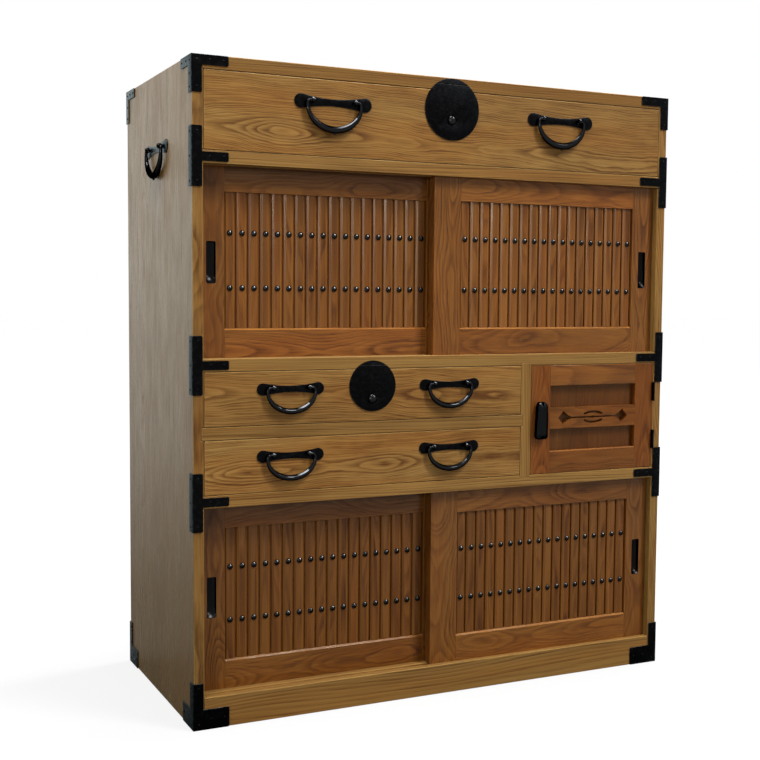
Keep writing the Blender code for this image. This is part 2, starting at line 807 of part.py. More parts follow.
def small_door():
    parent = pivot("small_door", (hinge_x, hinge_y, (door_low_z + door_high_z) / 2))
    door_back = front_y + small_door_thickness
    frame = box("small_door_frame", (door_low_x, front_y, door_low_z),
                (door_high_x, door_back, door_high_z), honey_wood, parent)
    seat_y = front_y + fret_rail_thickness
    rim = small_panel_rebate
    cut(frame, box_cutter(
        "small_door_rebate", (window_low_x - rim, seat_y, window_low_z - rim),
        (window_high_x + rim, door_back + cut_margin, window_high_z + rim)))
    windows = (("lower", window_low_z, fret_center_z - fret_rail_height / 2),
               ("upper", fret_center_z + fret_rail_height / 2, window_high_z))
    for word, low, high in windows:
        cut(frame, box_cutter(
            f"small_door_{word}_window", (window_low_x, front_y - cut_margin, low),
            (window_high_x, door_back + cut_margin, high)))
    fret_at = (fret_center_x, seat_y, fret_center_z)
    fret_depth = 4 * fret_rail_thickness
    cut(frame, outline_cutter("fret_diamonds", fret_outline(), fret_depth, fret_at, FACING_FRONT))
    for word, flip in (("upper", 1), ("lower", -1)):
        cut(frame, outline_cutter(f"fret_{word}_arc", fret_arc(flip), fret_depth, fret_at, FACING_FRONT))
    box("small_door_panel",
        (window_low_x - rim + joint_gap, seat_y + joint_gap, window_low_z - rim + joint_gap),
        (window_high_x + rim - joint_gap, seat_y + joint_gap + small_panel_thickness,
         window_high_z + rim - joint_gap), door_wood, parent)
    for word, middle in (("upper", door_high_z - hinge_inset - hinge_height / 2),
                         ("lower", door_low_z + hinge_inset + hinge_height / 2 - small_door_gap)):
        small_hinge(f"small_door_hinge_{word}", middle, frame, parent)
    drop_pull(frame, parent)


def small_hinge(name, middle, frame, parent):
    """A knuckle in front of the gap, with its leaf let into the door's edge."""
    low_z = middle - hinge_height / 2
    high_z = middle + hinge_height / 2
    leaf_low = (hinge_x - hinge_leaf_thickness, hinge_y, low_z + hinge_leaf_inset)
    leaf_high = (hinge_x, front_y + hinge_leaf_depth, high_z - hinge_leaf_inset)
    leaf = box(name, leaf_low, leaf_high, black_iron, parent)
    knuckle = rod_cutter(f"{name}_knuckle", (hinge_x, hinge_y, middle), hinge_radius, hinge_height,
                         STANDING)
    join(leaf, knuckle)
    cut(frame, box_cutter(
        f"{name}_mortise",
        (hinge_x - hinge_leaf_thickness - joint_gap, front_y - cut_margin, low_z - joint_gap),
        (door_high_x + cut_margin, front_y + hinge_leaf_depth + joint_gap, high_z + joint_gap)))


def pull_points():
    """The drop pull from the front: a round head that widens down to a blunt foot."""
    head = arc((0.0, pull_pivot_inset - pull_top_width / 2), pull_top_width / 2, 0.0, 180.0, ARC_STEPS)
    foot_z = pull_pivot_inset - pull_length
    corner = pull_bottom_width / 6
    half = pull_bottom_width / 2
    foot = [(-half, foot_z + corner), (-half + corner, foot_z),
            (half - corner, foot_z), (half, foot_z + corner)]
    return head + foot


def drop_pull(frame, parent):
    """A staple driven into the stile, with a cross pin, and the forked pull that hangs on it."""
    at = Vector((door_low_x + small_door_stile / 2, front_y - pull_pivot_reach,
                 door_high_z - pull_drop - pull_pivot_inset))
    staple_low = at - Vector((staple_width / 2, staple_height / 2, staple_height / 2))
    staple_high = Vector((at.x + staple_width / 2, front_y + staple_depth, at.z + staple_height / 2))
    staple = box("small_door_pull_staple", staple_low, staple_high, black_iron, parent)
    join(staple, rod_cutter("staple_pin", at, staple_pin_radius, staple_pin_length, ALONG_X))
    gap = Vector((joint_gap, joint_gap, joint_gap))
    cut(frame, box_cutter("staple_hole", staple_low - gap, staple_high + gap))
    hinge = pivot("small_door_pull_hinge", at)
    mesh = outline_mesh("small_door_pull", pull_points(), pull_thickness)
    pull = place(bpy.data.objects.new("small_door_pull", mesh), black_iron, hinge, at)
    pull.rotation_euler = FACING_FRONT
    cut(pull, box_cutter(
        "pull_slot", at - Vector((pull_slot / 2, pull_thickness, pull_slot / 2)),
        at + Vector((pull_slot / 2, pull_thickness, pull_pivot_inset + cut_margin))))
    cut(pull, rod_cutter("pull_bore", at, staple_pin_radius + bore_gap, pull_top_width * 2, ALONG_X))
    hinge.parent = parent
    hinge.location = at - parent.location


small_door()
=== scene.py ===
"""Merchant chest: its wood grain, iron fittings and light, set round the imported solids.
Metres, +Z up, front towards -Y."""

import json
import math
import random

import bmesh
import bpy
from mathutils import Matrix, Vector

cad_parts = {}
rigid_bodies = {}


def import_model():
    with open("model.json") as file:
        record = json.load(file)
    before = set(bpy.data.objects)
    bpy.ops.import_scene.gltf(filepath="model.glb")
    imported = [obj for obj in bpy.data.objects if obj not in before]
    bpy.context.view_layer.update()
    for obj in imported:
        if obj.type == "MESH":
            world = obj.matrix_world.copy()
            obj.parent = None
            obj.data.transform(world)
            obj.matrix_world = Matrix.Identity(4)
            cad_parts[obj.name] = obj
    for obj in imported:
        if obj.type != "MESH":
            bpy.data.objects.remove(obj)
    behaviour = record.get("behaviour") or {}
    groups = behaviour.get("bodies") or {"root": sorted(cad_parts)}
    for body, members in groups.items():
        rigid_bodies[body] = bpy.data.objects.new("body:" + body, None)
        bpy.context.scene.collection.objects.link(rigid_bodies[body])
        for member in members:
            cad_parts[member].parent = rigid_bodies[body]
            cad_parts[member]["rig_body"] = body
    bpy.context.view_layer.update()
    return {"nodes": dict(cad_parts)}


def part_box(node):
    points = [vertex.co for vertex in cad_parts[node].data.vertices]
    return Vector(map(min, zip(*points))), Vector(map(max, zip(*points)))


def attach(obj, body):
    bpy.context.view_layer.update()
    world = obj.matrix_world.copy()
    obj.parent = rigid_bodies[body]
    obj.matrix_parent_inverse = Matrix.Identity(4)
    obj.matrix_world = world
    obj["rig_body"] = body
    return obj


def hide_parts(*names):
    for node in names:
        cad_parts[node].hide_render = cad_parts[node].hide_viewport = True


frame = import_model()
dice = random.Random(1907)
X, Y, Z = 0, 1, 2

# Two places closer than this are the same
hair = 2e-5

# Joinery
joint_gap = 0.0003
seam = 0.00006
board_ease = 0.0011
drawer_ease = 0.0009
rail_ease = 0.0006

# How far boards lie from the pith of their log
open_pith = (0.02, 0.07)
side_pith = (0.03, 0.09)
top_pith = (0.2, 0.35)
shelf_pith = (0.25, 0.45)
base_pith = (0.1, 0.2)
drawer_pith = (0.02, 0.035)
slat_pith = (0.1, 0.3)
panel_pith = (0.0, 0.01)

# How the grain runs: its slope, how short its lines are drawn and how close its rings lie
open_run = (0.035, 1.0, 1.0)
straight_run = (0.006, 0.35, 1.5)
slat_run = (0.02, 0.35, 1.2)

# Carcass and drawers
straight_boards = (
    ("top_board", X, board_ease, 0.79, top_pith),
    ("upper_shelf", X, rail_ease, 1.12, shelf_pith),
    ("middle_shelf", X, rail_ease, 0.98, shelf_pith),
    ("lower_shelf", X, rail_ease, 1.03, shelf_pith),
    ("drawer_divider", X, rail_ease, 0.84, shelf_pith),
    ("partition", Z, rail_ease, 0.98, shelf_pith),
    ("base", X, board_ease, 0.90, base_pith),
)
# Painted shade on the side boards, as shares of their tone at the foot and at the top: darker towards the
# foot, lighter at the top
side_painted_shade = (0.76, 1.08)
drawer_tones = dict(top_drawer=0.97, upper_drawer=0.98, lower_drawer=1.0)
box_tone = 0.68
back_boards = 7
back_joint = 0.0012
back_lining = 0.003
lining_tone = 0.8

# Sliding doors: the side of the finger cup, the tone of the wood, what the rails have of it, and the
# painted shadow of the rail above on the top rail, as shares from its foot to its top
doors = dict(
    upper_left_door=dict(side=-1, tone=1.08, top=1.06, bottom=1.36, painted_rail_shadow=(1.24, 0.34)),
    upper_right_door=dict(side=1, tone=1.10, top=1.20, bottom=1.12, painted_rail_shadow=(1.10, 0.98)),
    lower_left_door=dict(side=-1, tone=0.86, top=1.08, bottom=1.0, painted_rail_shadow=(1.02, 0.62)),
    lower_right_door=dict(side=1, tone=0.88, top=1.12, bottom=1.14, painted_rail_shadow=(1.0, 1.0)),
)
field_chamfer = 0.0027
# Painted shade on the narrow outer edges of the doors
door_edge_painted_shade = 0.80
slat_rim = 0.0047
slat_count = 18
slat_gap = 0.003
slat_chamfer = 0.0029
slat_slant = 0.0007
slat_backing = 0.0062
slat_sink = 0.001
slat_ease = 0.0004
slat_end = 0.01
# The backing behind the slats is lightened: painted light in the shaded gaps between them
backing_painted_light = 1.6

# Studs, nails and rivets, as (radius, height) profiles
stud_row_inset = 0.065
stud_profile = ((0.0, 0.0037), (0.0006, 0.00352), (0.0019, 0.00292), (0.0032, 0.0022), (0.0043, 0.00149),
                (0.0048, 0.0006), (0.0048, -0.001), (0.0, -0.001))
stud_sides = 12
# Painted highlight on the upper faces of the studs, up to this reach to either side
stud_highlight_reach = 0.2
nail_profile = ((0.0, 0.0010), (0.0013, 0.0007), (0.0020, 0.0), (0.0020, -0.0008), (0.0, -0.0008))
nail_sides = 8
nail_inset = 0.0085
rivet_profile = ((0.0, 0.0007), (0.0008, 0.0005), (0.0012, 0.0), (0.0012, -0.0005), (0.0, -0.0005))
# Faces that get a painted highlight look at least this far forward and up
highlight_forward = 0.4
highlight_up = 0.3

# Finger cups of the sliding doors
cup_width = 0.015
cup_height = 0.066
cup_depth = 0.0078
cup_setback = 0.0225
cup_drop = 0.0035
cup_play = 0.0002
cup_proud = 0.0002
cup_wall = 0.0008
cup_rim = 0.0006
cup_corner = 0.0022
cup_floor_round = 0.0040
cup_scoop = ((0.0, 0.0006), (0.003, 0.0029), (0.006, 0.0048), (0.009, 0.0063), (0.012, 0.0073),
             (0.015, 0.0078))
cup_dish = 0.0012
cup_cuts = (-0.75, -0.5, -0.25, 0.0, 0.25, 0.5, 0.75)

# Small cupboard door
panel_lap = 0.0057
fret_half = 0.019
window_chamfer = 0.0018
fret_ease = 0.0007
small_part_tone = dict(left_stile=1.06, right_stile=0.92, bottom_rail=0.88, fret_rail=1.03, top_rail=1.24)
small_panel_tone = 0.60
hinge_radius = 0.0018
hinge_joint = 0.0004
leaf_inset = 0.0003
leaf_gap = 0.001
knuckle_count = 3
knuckle_round = 0.0005
knuckle_sides = 20
hinge_pin_wall = 0.0008
hinge_pin_inset = 0.0005
hinge_pin_sides = 16
pull_ease = 0.0028
pull_shift = -0.0025
pull_dome = 0.0056
pull_crown = ((0.0, 0.0), (0.003, 0.43), (0.006, 0.76), (0.009, 0.95), (0.013, 1.0))
pull_cuts = (-0.85, -0.7, -0.5, -0.3, -0.1, 0.1, 0.3, 0.5, 0.7, 0.85)
pull_levels = 9
pull_foot = 0.008
staple_ease = 0.0004

# Irons
iron_thickness = 0.0015
iron_corner = 0.0022
iron_fold = 0.0010
iron_ease = 0.00035
upright_inset = 0.0095
flange_inset = 0.0105
arm_insets = (0.008, 0.030)
top_arm = 0.008
foot_arm = 0.0165

# Handles: plate, eyes and bail
plate_thickness = 0.0015
plate_ease = 0.0005
lobe_steps = 16
waist_steps = 10
eye_reach = 0.0062
eye_rise = 0.002
eye_radius = 0.0048
eye_width = 0.005
eye_bore = 0.0029
eye_sides = 10
eye_steps = 24
# Painted highlight on the upper faces of the eyes, up to this reach to either side
eye_highlight_reach = 0.6
pin_radius = 0.0025
pin_overhang = 0.0012
bail_shoulder = 0.006
bail_sides = 36
bail_steps = 16
bail_turns = 10
bail_flat = 0.91
large_handle = dict(length=0.136, lobe=0.0115, waist=0.011, spacing=0.0752, width=0.0945, drop=0.0458,
                    grip=0.0057, lean=45.0)
small_handle = dict(length=0.116, lobe=0.010, waist=0.010, spacing=0.0627, width=0.083, drop=0.0382,
                    grip=0.0049, lean=51.0)
nub_profile = ((0.0, 0.0024), (0.0010, 0.0021), (0.0019, 0.0009), (0.0026, -0.0008), (0.0, -0.0012))
nub_sides = 12

# Locks
top_lock = dict(radius=0.052, center_x=0.0, center_z=1.010)
upper_lock = dict(radius=0.0425, center_x=-0.14525, center_z=0.544)
lock_ease = 0.0006
lock_sides = 96
strike_gap = 0.0004
rivet_places = ((0.0178, -0.0013), (0.0130, -0.0047))
button_profile = ((0.0, 0.0062), (0.0013, 0.0060), (0.0026, 0.0056), (0.0040, 0.0050), (0.0053, 0.0043),
                  (0.0065, 0.0034), (0.0074, 0.0025), (0.0081, 0.0014), (0.0085, 0.0004), (0.0085, -0.0080),
                  (0.0, -0.0080))
button_sides = 36

# Stage: lamps as name, place, aim, width, height, power and spin, and the camera
floor_reach = 30.0
floor_drop = 0.0004
sky_level = 0.14
lamps = (
    ("key", (2.72, -3.85, 6.7), (0.0, -0.1, 0.55), 1.8, 1.8, 440.0, 0.0),
    ("spark", (3.9, -4.5, 4.6), (0.0, -0.1, 0.6), 0.7, 0.7, 95.0, 0.0),
    ("glint", (-1.6, -3.8, 4.6), (0.0, -0.1, 0.55), 0.5, 0.5, 18.0, 0.0),
    ("window", (-3.17, -2.86, 1.2), (0.0, -0.1, 0.8), 1.7, 0.4, 32.0, 0.0),
    ("top", (0.35, 0.05, 3.9), (0.35, 0.05, 0.0), 4.6, 0.6, 370.0, 24.0),
)
view_lens = 57.10
view_width = 36.0
view_place = (-0.99988, -2.01833, 0.69516)
view_turns = (85.9765, -0.4360, -25.4919)


# Finishes

def linear(red, green, blue):
    """A colour given in the 0 to 255 steps of a screen, as light."""
    steps = (red / 255, green / 255, blue / 255)
    return tuple(step / 12.92 if step <= 0.04045 else ((step + 0.055) / 1.055) ** 2.4 for step in steps)


def feed(tree, made, inputs):
    """Sets a node's inputs, each to a plain value or to another node's output."""
    for key, value in inputs.items():
        if isinstance(value, bpy.types.NodeSocket):
            tree.links.new(value, made.inputs[key])
        else:
            made.inputs[key].default_value = value


def node(tree, kind, inputs=None, **settings):
    made = tree.nodes.new(kind)
    for key, value in settings.items():
        setattr(made, key, value)
    feed(tree, made, inputs or {})
    return made


def calc(tree, operation, *values):
    inputs = dict(enumerate(values))
    return node(tree, "ShaderNodeMath", inputs, operation=operation).outputs[0]


def add_times(tree, value, share, base):
    return calc(tree, "MULTIPLY_ADD", value, share, base)


def vector_calc(tree, operation, inputs):
    return node(tree, "ShaderNodeVectorMath", inputs, operation=operation).outputs


def attribute(tree, name):
    return node(tree, "ShaderNodeAttribute", attribute_name=name)


def streaks(tree, place, stretch, detail):
    """Noise drawn out by a different amount along each direction."""
    drawn = vector_calc(tree, "MULTIPLY", {0: place, 1: stretch})[0]
    noise = node(tree, "ShaderNodeTexNoise", {"Vector": drawn, "Scale": 1.0, "Detail": detail})
    return noise.outputs["Fac"]


def spread(tree, value, low, high, new_low, new_high):
    inputs = {"Value": value, "From Min": low, "From Max": high, "To Min": new_low, "To Max": new_high}
    return node(tree, "ShaderNodeMapRange", inputs).outputs["Result"]


def add_share(tree, value, share, base):
    """Adds a share of a value that varies round one half."""
    return add_times(tree, calc(tree, "SUBTRACT", value, 0.5), share, base)


def ramp(tree, value, stops):
    """A colour ramp through (place, colour) stops."""
    made = node(tree, "ShaderNodeValToRGB", {"Fac": value})
    band = made.color_ramp
    for stop in stops[1:-1]:
        band.elements.new(stop[0])
    for element, (place, color) in zip(band.elements, stops):
        element.position = place
        element.color = (*color, 1.0)
    return made.outputs["Color"]


def grey(value):
    return (value, value, value)


def times(color, factor):
    return tuple(part * factor for part in color)


def blend(tree, amount, first, second):
    """A mix of one node's colour with a plain one or another node's."""
    if isinstance(second, tuple):
        second = (*second, 1.0)
    return node(tree, "ShaderNodeMix", {0: amount, 6: first, 7: second}, data_type="RGBA").outputs[2]


def bump(tree, height, strength, distance, invert=False):
    inputs = {"Height": height, "Strength": strength, "Distance": distance}
    return node(tree, "ShaderNodeBump", inputs, invert=invert).outputs["Normal"]


def new_finish(name):
    material = bpy.data.materials.new(name)
    material.use_nodes = True
    return material, material.node_tree, material.node_tree.nodes["Principled BSDF"]


def wood_finish(name, light, middle, dark, ring_width, figure, gloss, specular, sheen, waves=0.0050):
    """Growth rings round a pith, with pores, fibres, slow drifts of colour, and eased edges lightened as
    wear and as painted highlight.
    """
    material, tree, shader = new_finish(name)
    place = attribute(tree, "grain").outputs["Vector"]
    tone = attribute(tree, "tone").outputs["Fac"]
    wear_and_highlight = attribute(tree, "wear_and_highlight").outputs["Fac"]
    sway = streaks(tree, place, (4.0, 7.0, 7.0), 1.0)
    ripple = streaks(tree, place, (15.0, 34.0, 34.0), 2.0)
    fibre = streaks(tree, place, (14.0, 420.0, 420.0), 3.0)
    pore = streaks(tree, place, (36.0, 800.0, 800.0), 1.0)
    drift = streaks(tree, place, (1.1, 7.0, 7.0), 2.0)
    blush = streaks(tree, place, (2.6, 19.0, 19.0), 3.0)
    patch = streaks(tree, place, (15.0, 46.0, 46.0), 3.0)
    section = vector_calc(tree, "MULTIPLY", {0: place, 1: (0.0, 1.0, 1.0)})[0]
    radius = vector_calc(tree, "LENGTH", {0: section})["Value"]
    swayed = add_times(tree, sway, 0.060, radius)
    rippled = add_times(tree, ripple, waves, swayed)
    count = calc(tree, "DIVIDE", rippled, ring_width)
    crowding = {"W": calc(tree, "MULTIPLY", count, 0.31), "Scale": 1.0, "Detail": 1.0}
    crowd = node(tree, "ShaderNodeTexNoise", crowding, noise_dimensions="1D").outputs["Fac"]
    years = add_times(tree, crowd, 2.2, count)
    phase = calc(tree, "FRACT", years)
    year = calc(tree, "FLOOR", years)
    luck = node(tree, "ShaderNodeTexWhiteNoise", {"W": year}, noise_dimensions="1D").outputs["Value"]
    early = ramp(tree, phase, ((0.0, grey(0.12)), (0.16, grey(1.0)), (0.40, grey(0.66)), (0.75, grey(0.16)),
                               (1.0, grey(0.12))))
    fade = spread(tree, patch, 0.34, 0.62, 0.60, 1.0)
    share = spread(tree, luck, 0.0, 1.0, 0.50, 1.0)
    depth = calc(tree, "MULTIPLY", calc(tree, "MULTIPLY", early, fade), share)
    open_pore = spread(tree, pore, 0.54, 0.70, 0.0, 1.0)
    pores = calc(tree, "MULTIPLY", open_pore, spread(tree, depth, 0.0, 0.7, 0.25, 1.0))
    shade = add_times(tree, depth, figure, 0.26)
    shade = add_share(tree, fibre, 0.80, shade)
    shade = add_share(tree, drift, 0.75, shade)
    shade = add_share(tree, patch, 0.28, shade)
    shade = add_times(tree, pores, 0.30, shade)
    color = ramp(tree, shade, ((0.0, light), (0.42, middle), (1.0, dark)))
    ruddy = vector_calc(tree, "MULTIPLY", {0: color, 1: (1.04, 0.86, 0.70)})[0]
    color = blend(tree, spread(tree, blush, 0.38, 0.68, 0.0, 0.8), color, ruddy)
    # Eased edges and chamfers lightened: partly wear, partly painted highlight
    rub_and_highlight = calc(tree, "MULTIPLY", wear_and_highlight, spread(tree, ripple, 0.35, 0.65, 0.15, 0.55))
    color = blend(tree, rub_and_highlight, color, tuple(min(1.0, part) for part in times(light, 1.25)))
    toned = vector_calc(tree, "SCALE", {0: color, "Scale": tone})[0]
    polish = spread(tree, shade, 0.0, 1.0, gloss - 0.06, gloss + 0.14)
    polish = add_share(tree, patch, 0.14, polish)
    polish = add_share(tree, fibre, 0.30, polish)
    relief = add_times(tree, pores, 0.8, add_times(tree, depth, 0.5, fibre))
    feed(tree, shader, {"Base Color": toned, "Roughness": polish, "Specular IOR Level": specular,
                        "Specular Tint": (*sheen, 1.0), "Normal": bump(tree, relief, 0.35, 0.0003, True)})
    return material


def iron_finish(name, color, bright, roughness, grain_size, relief):
    """Blackened iron: a mottled skin, forged unevenness and edges rubbed to bare metal."""
    material, tree, shader = new_finish(name)
    place = node(tree, "ShaderNodeTexCoord").outputs["Object"]
    wear_and_highlight = attribute(tree, "wear_and_highlight").outputs["Fac"]
    mottle = streaks(tree, place, grey(120.0), 3.0)
    grain = streaks(tree, place, grey(1.0 / grain_size), 2.0)
    speck = streaks(tree, place, grey(900.0), 1.0)
    skin = add_times(tree, grain, 0.6, calc(tree, "MULTIPLY", mottle, 0.4))
    tint = ramp(tree, skin, ((0.0, color), (0.48, color), (0.85, bright)))
    rub_and_highlight = calc(tree, "MULTIPLY", wear_and_highlight, spread(tree, mottle, 0.42, 0.66, 0.10, 0.85))
    tint = blend(tree, rub_and_highlight, tint, times(bright, 3.2))
    polish = spread(tree, mottle, 0.3, 0.7, roughness - 0.07, roughness + 0.09)
    height = add_times(tree, speck, 0.25, grain)
    feed(tree, shader, {"Base Color": tint, "Metallic": 1.0, "Specular Tint": (0.88, 0.97, 1.0, 1.0),
                        "Roughness": polish, "Normal": bump(tree, height, relief, 0.0005)})
    return material


def lacquer_finish(name, color, roughness, wear_and_highlight_gains=(0.0, 0.6, 1.8)):
    """Glossy black lacquer over hand-filed iron, with dusty spots, slight waves, and marked faces
    brightened as wear and as painted highlight.
    """
    material, tree, shader = new_finish(name)
    place = node(tree, "ShaderNodeTexCoord").outputs["Object"]
    wear_and_highlight = attribute(tree, "wear_and_highlight").outputs["Fac"]
    mottle = streaks(tree, place, grey(160.0), 3.0)
    wave = streaks(tree, place, grey(320.0), 2.0)
    dust = spread(tree, streaks(tree, place, grey(1500.0), 2.0), 0.58, 0.74, 0.0, 1.0)
    tint = ramp(tree, mottle, ((0.0, color), (0.5, color), (0.9, times(color, 1.3))))
    tint = blend(tree, calc(tree, "MULTIPLY", dust, 0.30), tint, times(color, 2.0))
    least, most, gain = wear_and_highlight_gains
    rub_and_highlight = calc(tree, "MULTIPLY", wear_and_highlight, spread(tree, mottle, 0.42, 0.66, least, most))
    tint = blend(tree, rub_and_highlight, tint, times(color, gain))
    polish = spread(tree, mottle, 0.3, 0.7, roughness - 0.05, roughness + 0.07)
    polish = add_times(tree, dust, 0.08, polish)
    feed(tree, shader, {"Base Color": tint, "Metallic": 1.0, "Specular Tint": (*grey(0.15), 1.0),
                        "Roughness": polish, "Normal": bump(tree, wave, 0.10, 0.0004)})
    return material


warm = (1.0, 0.80, 0.52)
clear = (1.0, 0.96, 0.88)
faint_green = (0.80, 1.0, 0.74)
honey = wood_finish("honey_wood_oiled", linear(161, 127, 71), linear(137, 102, 54), linear(90, 58, 26),
                    ring_width=0.0044, figure=0.66, gloss=0.36, specular=0.24, sheen=warm)
figured = wood_finish("drawer_wood_oiled", linear(168, 132, 75), linear(140, 103, 54), linear(88, 54, 24),
                      ring_width=0.0031, figure=0.86, gloss=0.36, specular=0.24, sheen=warm, waves=0.0060)
flank = wood_finish("side_wood_oiled", linear(152, 120, 65), linear(132, 101, 51), linear(98, 70, 31),
                    ring_width=0.0044, figure=0.60, gloss=0.28, specular=0.66, sheen=faint_green)
amber = wood_finish("door_wood_oiled", linear(140, 92, 39), linear(116, 72, 29), linear(74, 40, 15),
                    ring_width=0.0034, figure=0.66, gloss=0.20, specular=0.20, sheen=clear)
russet = wood_finish("small_door_wood_oiled", linear(137, 85, 37), linear(113, 66, 27), linear(74, 40, 15),
                     ring_width=0.0032, figure=0.62, gloss=0.28, specular=0.24, sheen=warm)
pale = wood_finish("pale_wood_plain", linear(205, 168, 112), linear(186, 146, 90), linear(148, 106, 58),
                   ring_width=0.0060, figure=0.60, gloss=0.62, specular=0.20, sheen=warm)
black = iron_finish("black_iron_forged", (0.0036, 0.0036, 0.0040), (0.009, 0.0093, 0.0098),
                    roughness=0.29, grain_size=0.0060, relief=0.14)
hammered = iron_finish("black_iron_hammered", (0.0030, 0.0030, 0.0034), (0.009, 0.0095, 0.0097),
                       roughness=0.40, grain_size=0.0022, relief=0.50)
# The last three numbers brighten marked faces: wear on eased edges, painted highlight on the tops of studs
# and eyes
polished = lacquer_finish("black_iron_lacquered", (0.0140, 0.0142, 0.0150), 0.11, (0.6, 1.0, 5.0))
buffed = lacquer_finish("black_iron_buffed", (0.0160, 0.0162, 0.0168), 0.10, (0.8, 1.0, 3.4))
glossy = lacquer_finish("black_iron_glossy", (0.0090, 0.0093, 0.0100), 0.12)
lined = lacquer_finish("black_iron_lining", (0.0068, 0.0064, 0.0064), 0.19)


# Shapes

def add_layers(shape):
    """What the finishes read: a point's place in its log, its board's tone, and the faces marked for wear
    and painted highlight.
    """
    shape.verts.layers.float_vector.new("grain")
    shape.verts.layers.float.new("tone")
    shape.faces.layers.float.new("wear_and_highlight")
    return shape


def new_shape():
    return add_layers(bmesh.new())


def node_shape(name):
    """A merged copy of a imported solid, with its flat faces whole again."""
    shape = bmesh.new()
    shape.from_mesh(frame["nodes"][name].data)
    bmesh.ops.remove_doubles(shape, verts=shape.verts, dist=1e-5)
    bmesh.ops.dissolve_limit(shape, angle_limit=math.radians(0.5), verts=shape.verts, edges=shape.edges)
    return add_layers(shape)


def body_of(name):
    return frame["nodes"][name]["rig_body"]


def at(x, y, z):
    return Matrix.Translation((x, y, z))


def unit(axis):
    """The direction of an axis."""
    return Vector([float(number == axis) for number in range(3)])


def all_of(shape):
    return shape.verts[:] + shape.edges[:] + shape.faces[:]


def points_in(parts):
    return [part for part in parts if isinstance(part, bmesh.types.BMVert)]


def newer(shape, before):
    """The points that were added since a set of points was noted."""
    return [vert for vert in shape.verts if vert not in before]


def edges_of(verts):
    """The edges that meet these points, each once."""
    return list(dict.fromkeys(edge for vert in verts for edge in vert.link_edges))


def faces_of(verts):
    return list(dict.fromkeys(face for vert in verts for face in vert.link_faces))


def extent(shape):
    """The two corners of the box round a shape."""
    low = Vector([min(vert.co[axis] for vert in shape.verts) for axis in range(3)])
    high = Vector([max(vert.co[axis] for vert in shape.verts) for axis in range(3)])
    return low, high


def lies_at(verts, axis, place):
    return all(abs(vert.co[axis] - place) < hair for vert in verts)


def edges_on(shape, axis_places):
    """The edges whose two ends both lie at the given places, as {axis: place}."""
    return [edge for edge in shape.edges
            if all(lies_at(edge.verts, axis, place) for axis, place in axis_places.items())]


def sharp_edges(shape, least=30.0):
    limit = math.radians(least)
    return [edge for edge in shape.edges
            if edge.is_manifold and edge.is_convex and edge.calc_face_angle() > limit]


def bevel(shape, edges, width, segments):
    """Rounds some edges and marks the new faces for wear and painted highlight."""
    made = bmesh.ops.bevel(shape, geom=edges, offset=width, offset_type="OFFSET", segments=segments,
                           profile=0.5, affect="EDGES", clamp_overlap=True, material=-1)
    wear_and_highlight = shape.faces.layers.float["wear_and_highlight"]
    for face in made["faces"]:
        face[wear_and_highlight] = 1.0


def ease(shape, width, segments=2, least=30.0):
    bevel(shape, sharp_edges(shape, least), width, segments)


def keep_between(shape, axis, low, high):
    """Cuts a shape off square along an axis, and closes the cuts."""
    along = unit(axis)
    for place, outward in ((low, -1.0), (high, 1.0)):
        if place is not None:
            made = bmesh.ops.bisect_plane(shape, geom=all_of(shape), dist=1e-7, plane_co=along * place,
                                          plane_no=along * outward, clear_outer=True)
            rim = [part for part in made["geom_cut"] if isinstance(part, bmesh.types.BMEdge)]
            if rim:
                bmesh.ops.holes_fill(shape, edges=rim, sides=0)
    face_out(shape)


def frame_part(solid, low_x, high_x, low_z, high_z):
    """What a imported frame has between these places."""
    shape = node_shape(solid)
    keep_between(shape, X, low_x, high_x)
    keep_between(shape, Z, low_z, high_z)
    return shape


def cut_across(shape, axis, place):
    """A row of points where the plane at this place crosses the shape."""
    bmesh.ops.bisect_plane(shape, geom=all_of(shape), dist=1e-6, plane_co=unit(axis) * place,
                           plane_no=unit(axis))


def along_profile(profile, place):
    """The profile's value at a place, straight between its points."""
    for (start, value), (end, next_value) in zip(profile, profile[1:]):
        if place < end:
            share = max(0.0, (place - start) / (end - start))
            return value + (next_value - value) * share
    return profile[-1][1]


def lay_grain(shape, verts, low, high, along, tone=1.0, pith=open_pith, run=open_run):
    """Gives points their place in a log: along the grain, then below and beside the pith."""
    grain = shape.verts.layers.float_vector["grain"]
    shade = shape.verts.layers.float["tone"]
    slope, length, tight = run
    size = high - low
    thin, wide = sorted((axis for axis in range(3) if axis != along), key=lambda axis: size[axis])
    middle = (low + high) / 2
    start = dice.uniform(0.0, 40.0)
    depth = dice.uniform(*pith)
    beside = dice.uniform(-0.3, 0.3) * size[wide]
    lean = dice.uniform(-slope, slope)
    skew = dice.uniform(-slope, slope)
    for vert in verts:
        place = vert.co - middle
        vert[grain] = (start + place[along] * length, depth + (place[thin] + lean * place[along]) * tight,
                       (place[wide] - beside + skew * place[along]) * tight)
        vert[shade] = tone


def paint_shade_up(shape, low, high, painted_shade_shares):
    """Paints shade on a board: lighter or darker evenly from its foot to its top."""
    shade = shape.verts.layers.float["tone"]
    foot, head = painted_shade_shares
    for vert in shape.verts:
        vert[shade] *= foot + (head - foot) * (vert.co.z - low.z) / (high.z - low.z)


def paint_top_highlights(shape, reach):
    """Painted highlight: the faces that look forward and up are marked to be brightened, up to this reach
    to either side.
    """
    shape.normal_update()
    wear_and_highlight = shape.faces.layers.float["wear_and_highlight"]
    for face in shape.faces:
        if face.normal.y < -highlight_forward and face.normal.z > highlight_up and abs(face.normal.x) < reach:
            face[wear_and_highlight] = 1.0


def shift(shape, x, y, z):
    bmesh.ops.translate(shape, vec=(x, y, z), verts=shape.verts)


def face_out(shape):
    bmesh.ops.recalc_face_normals(shape, faces=shape.faces)


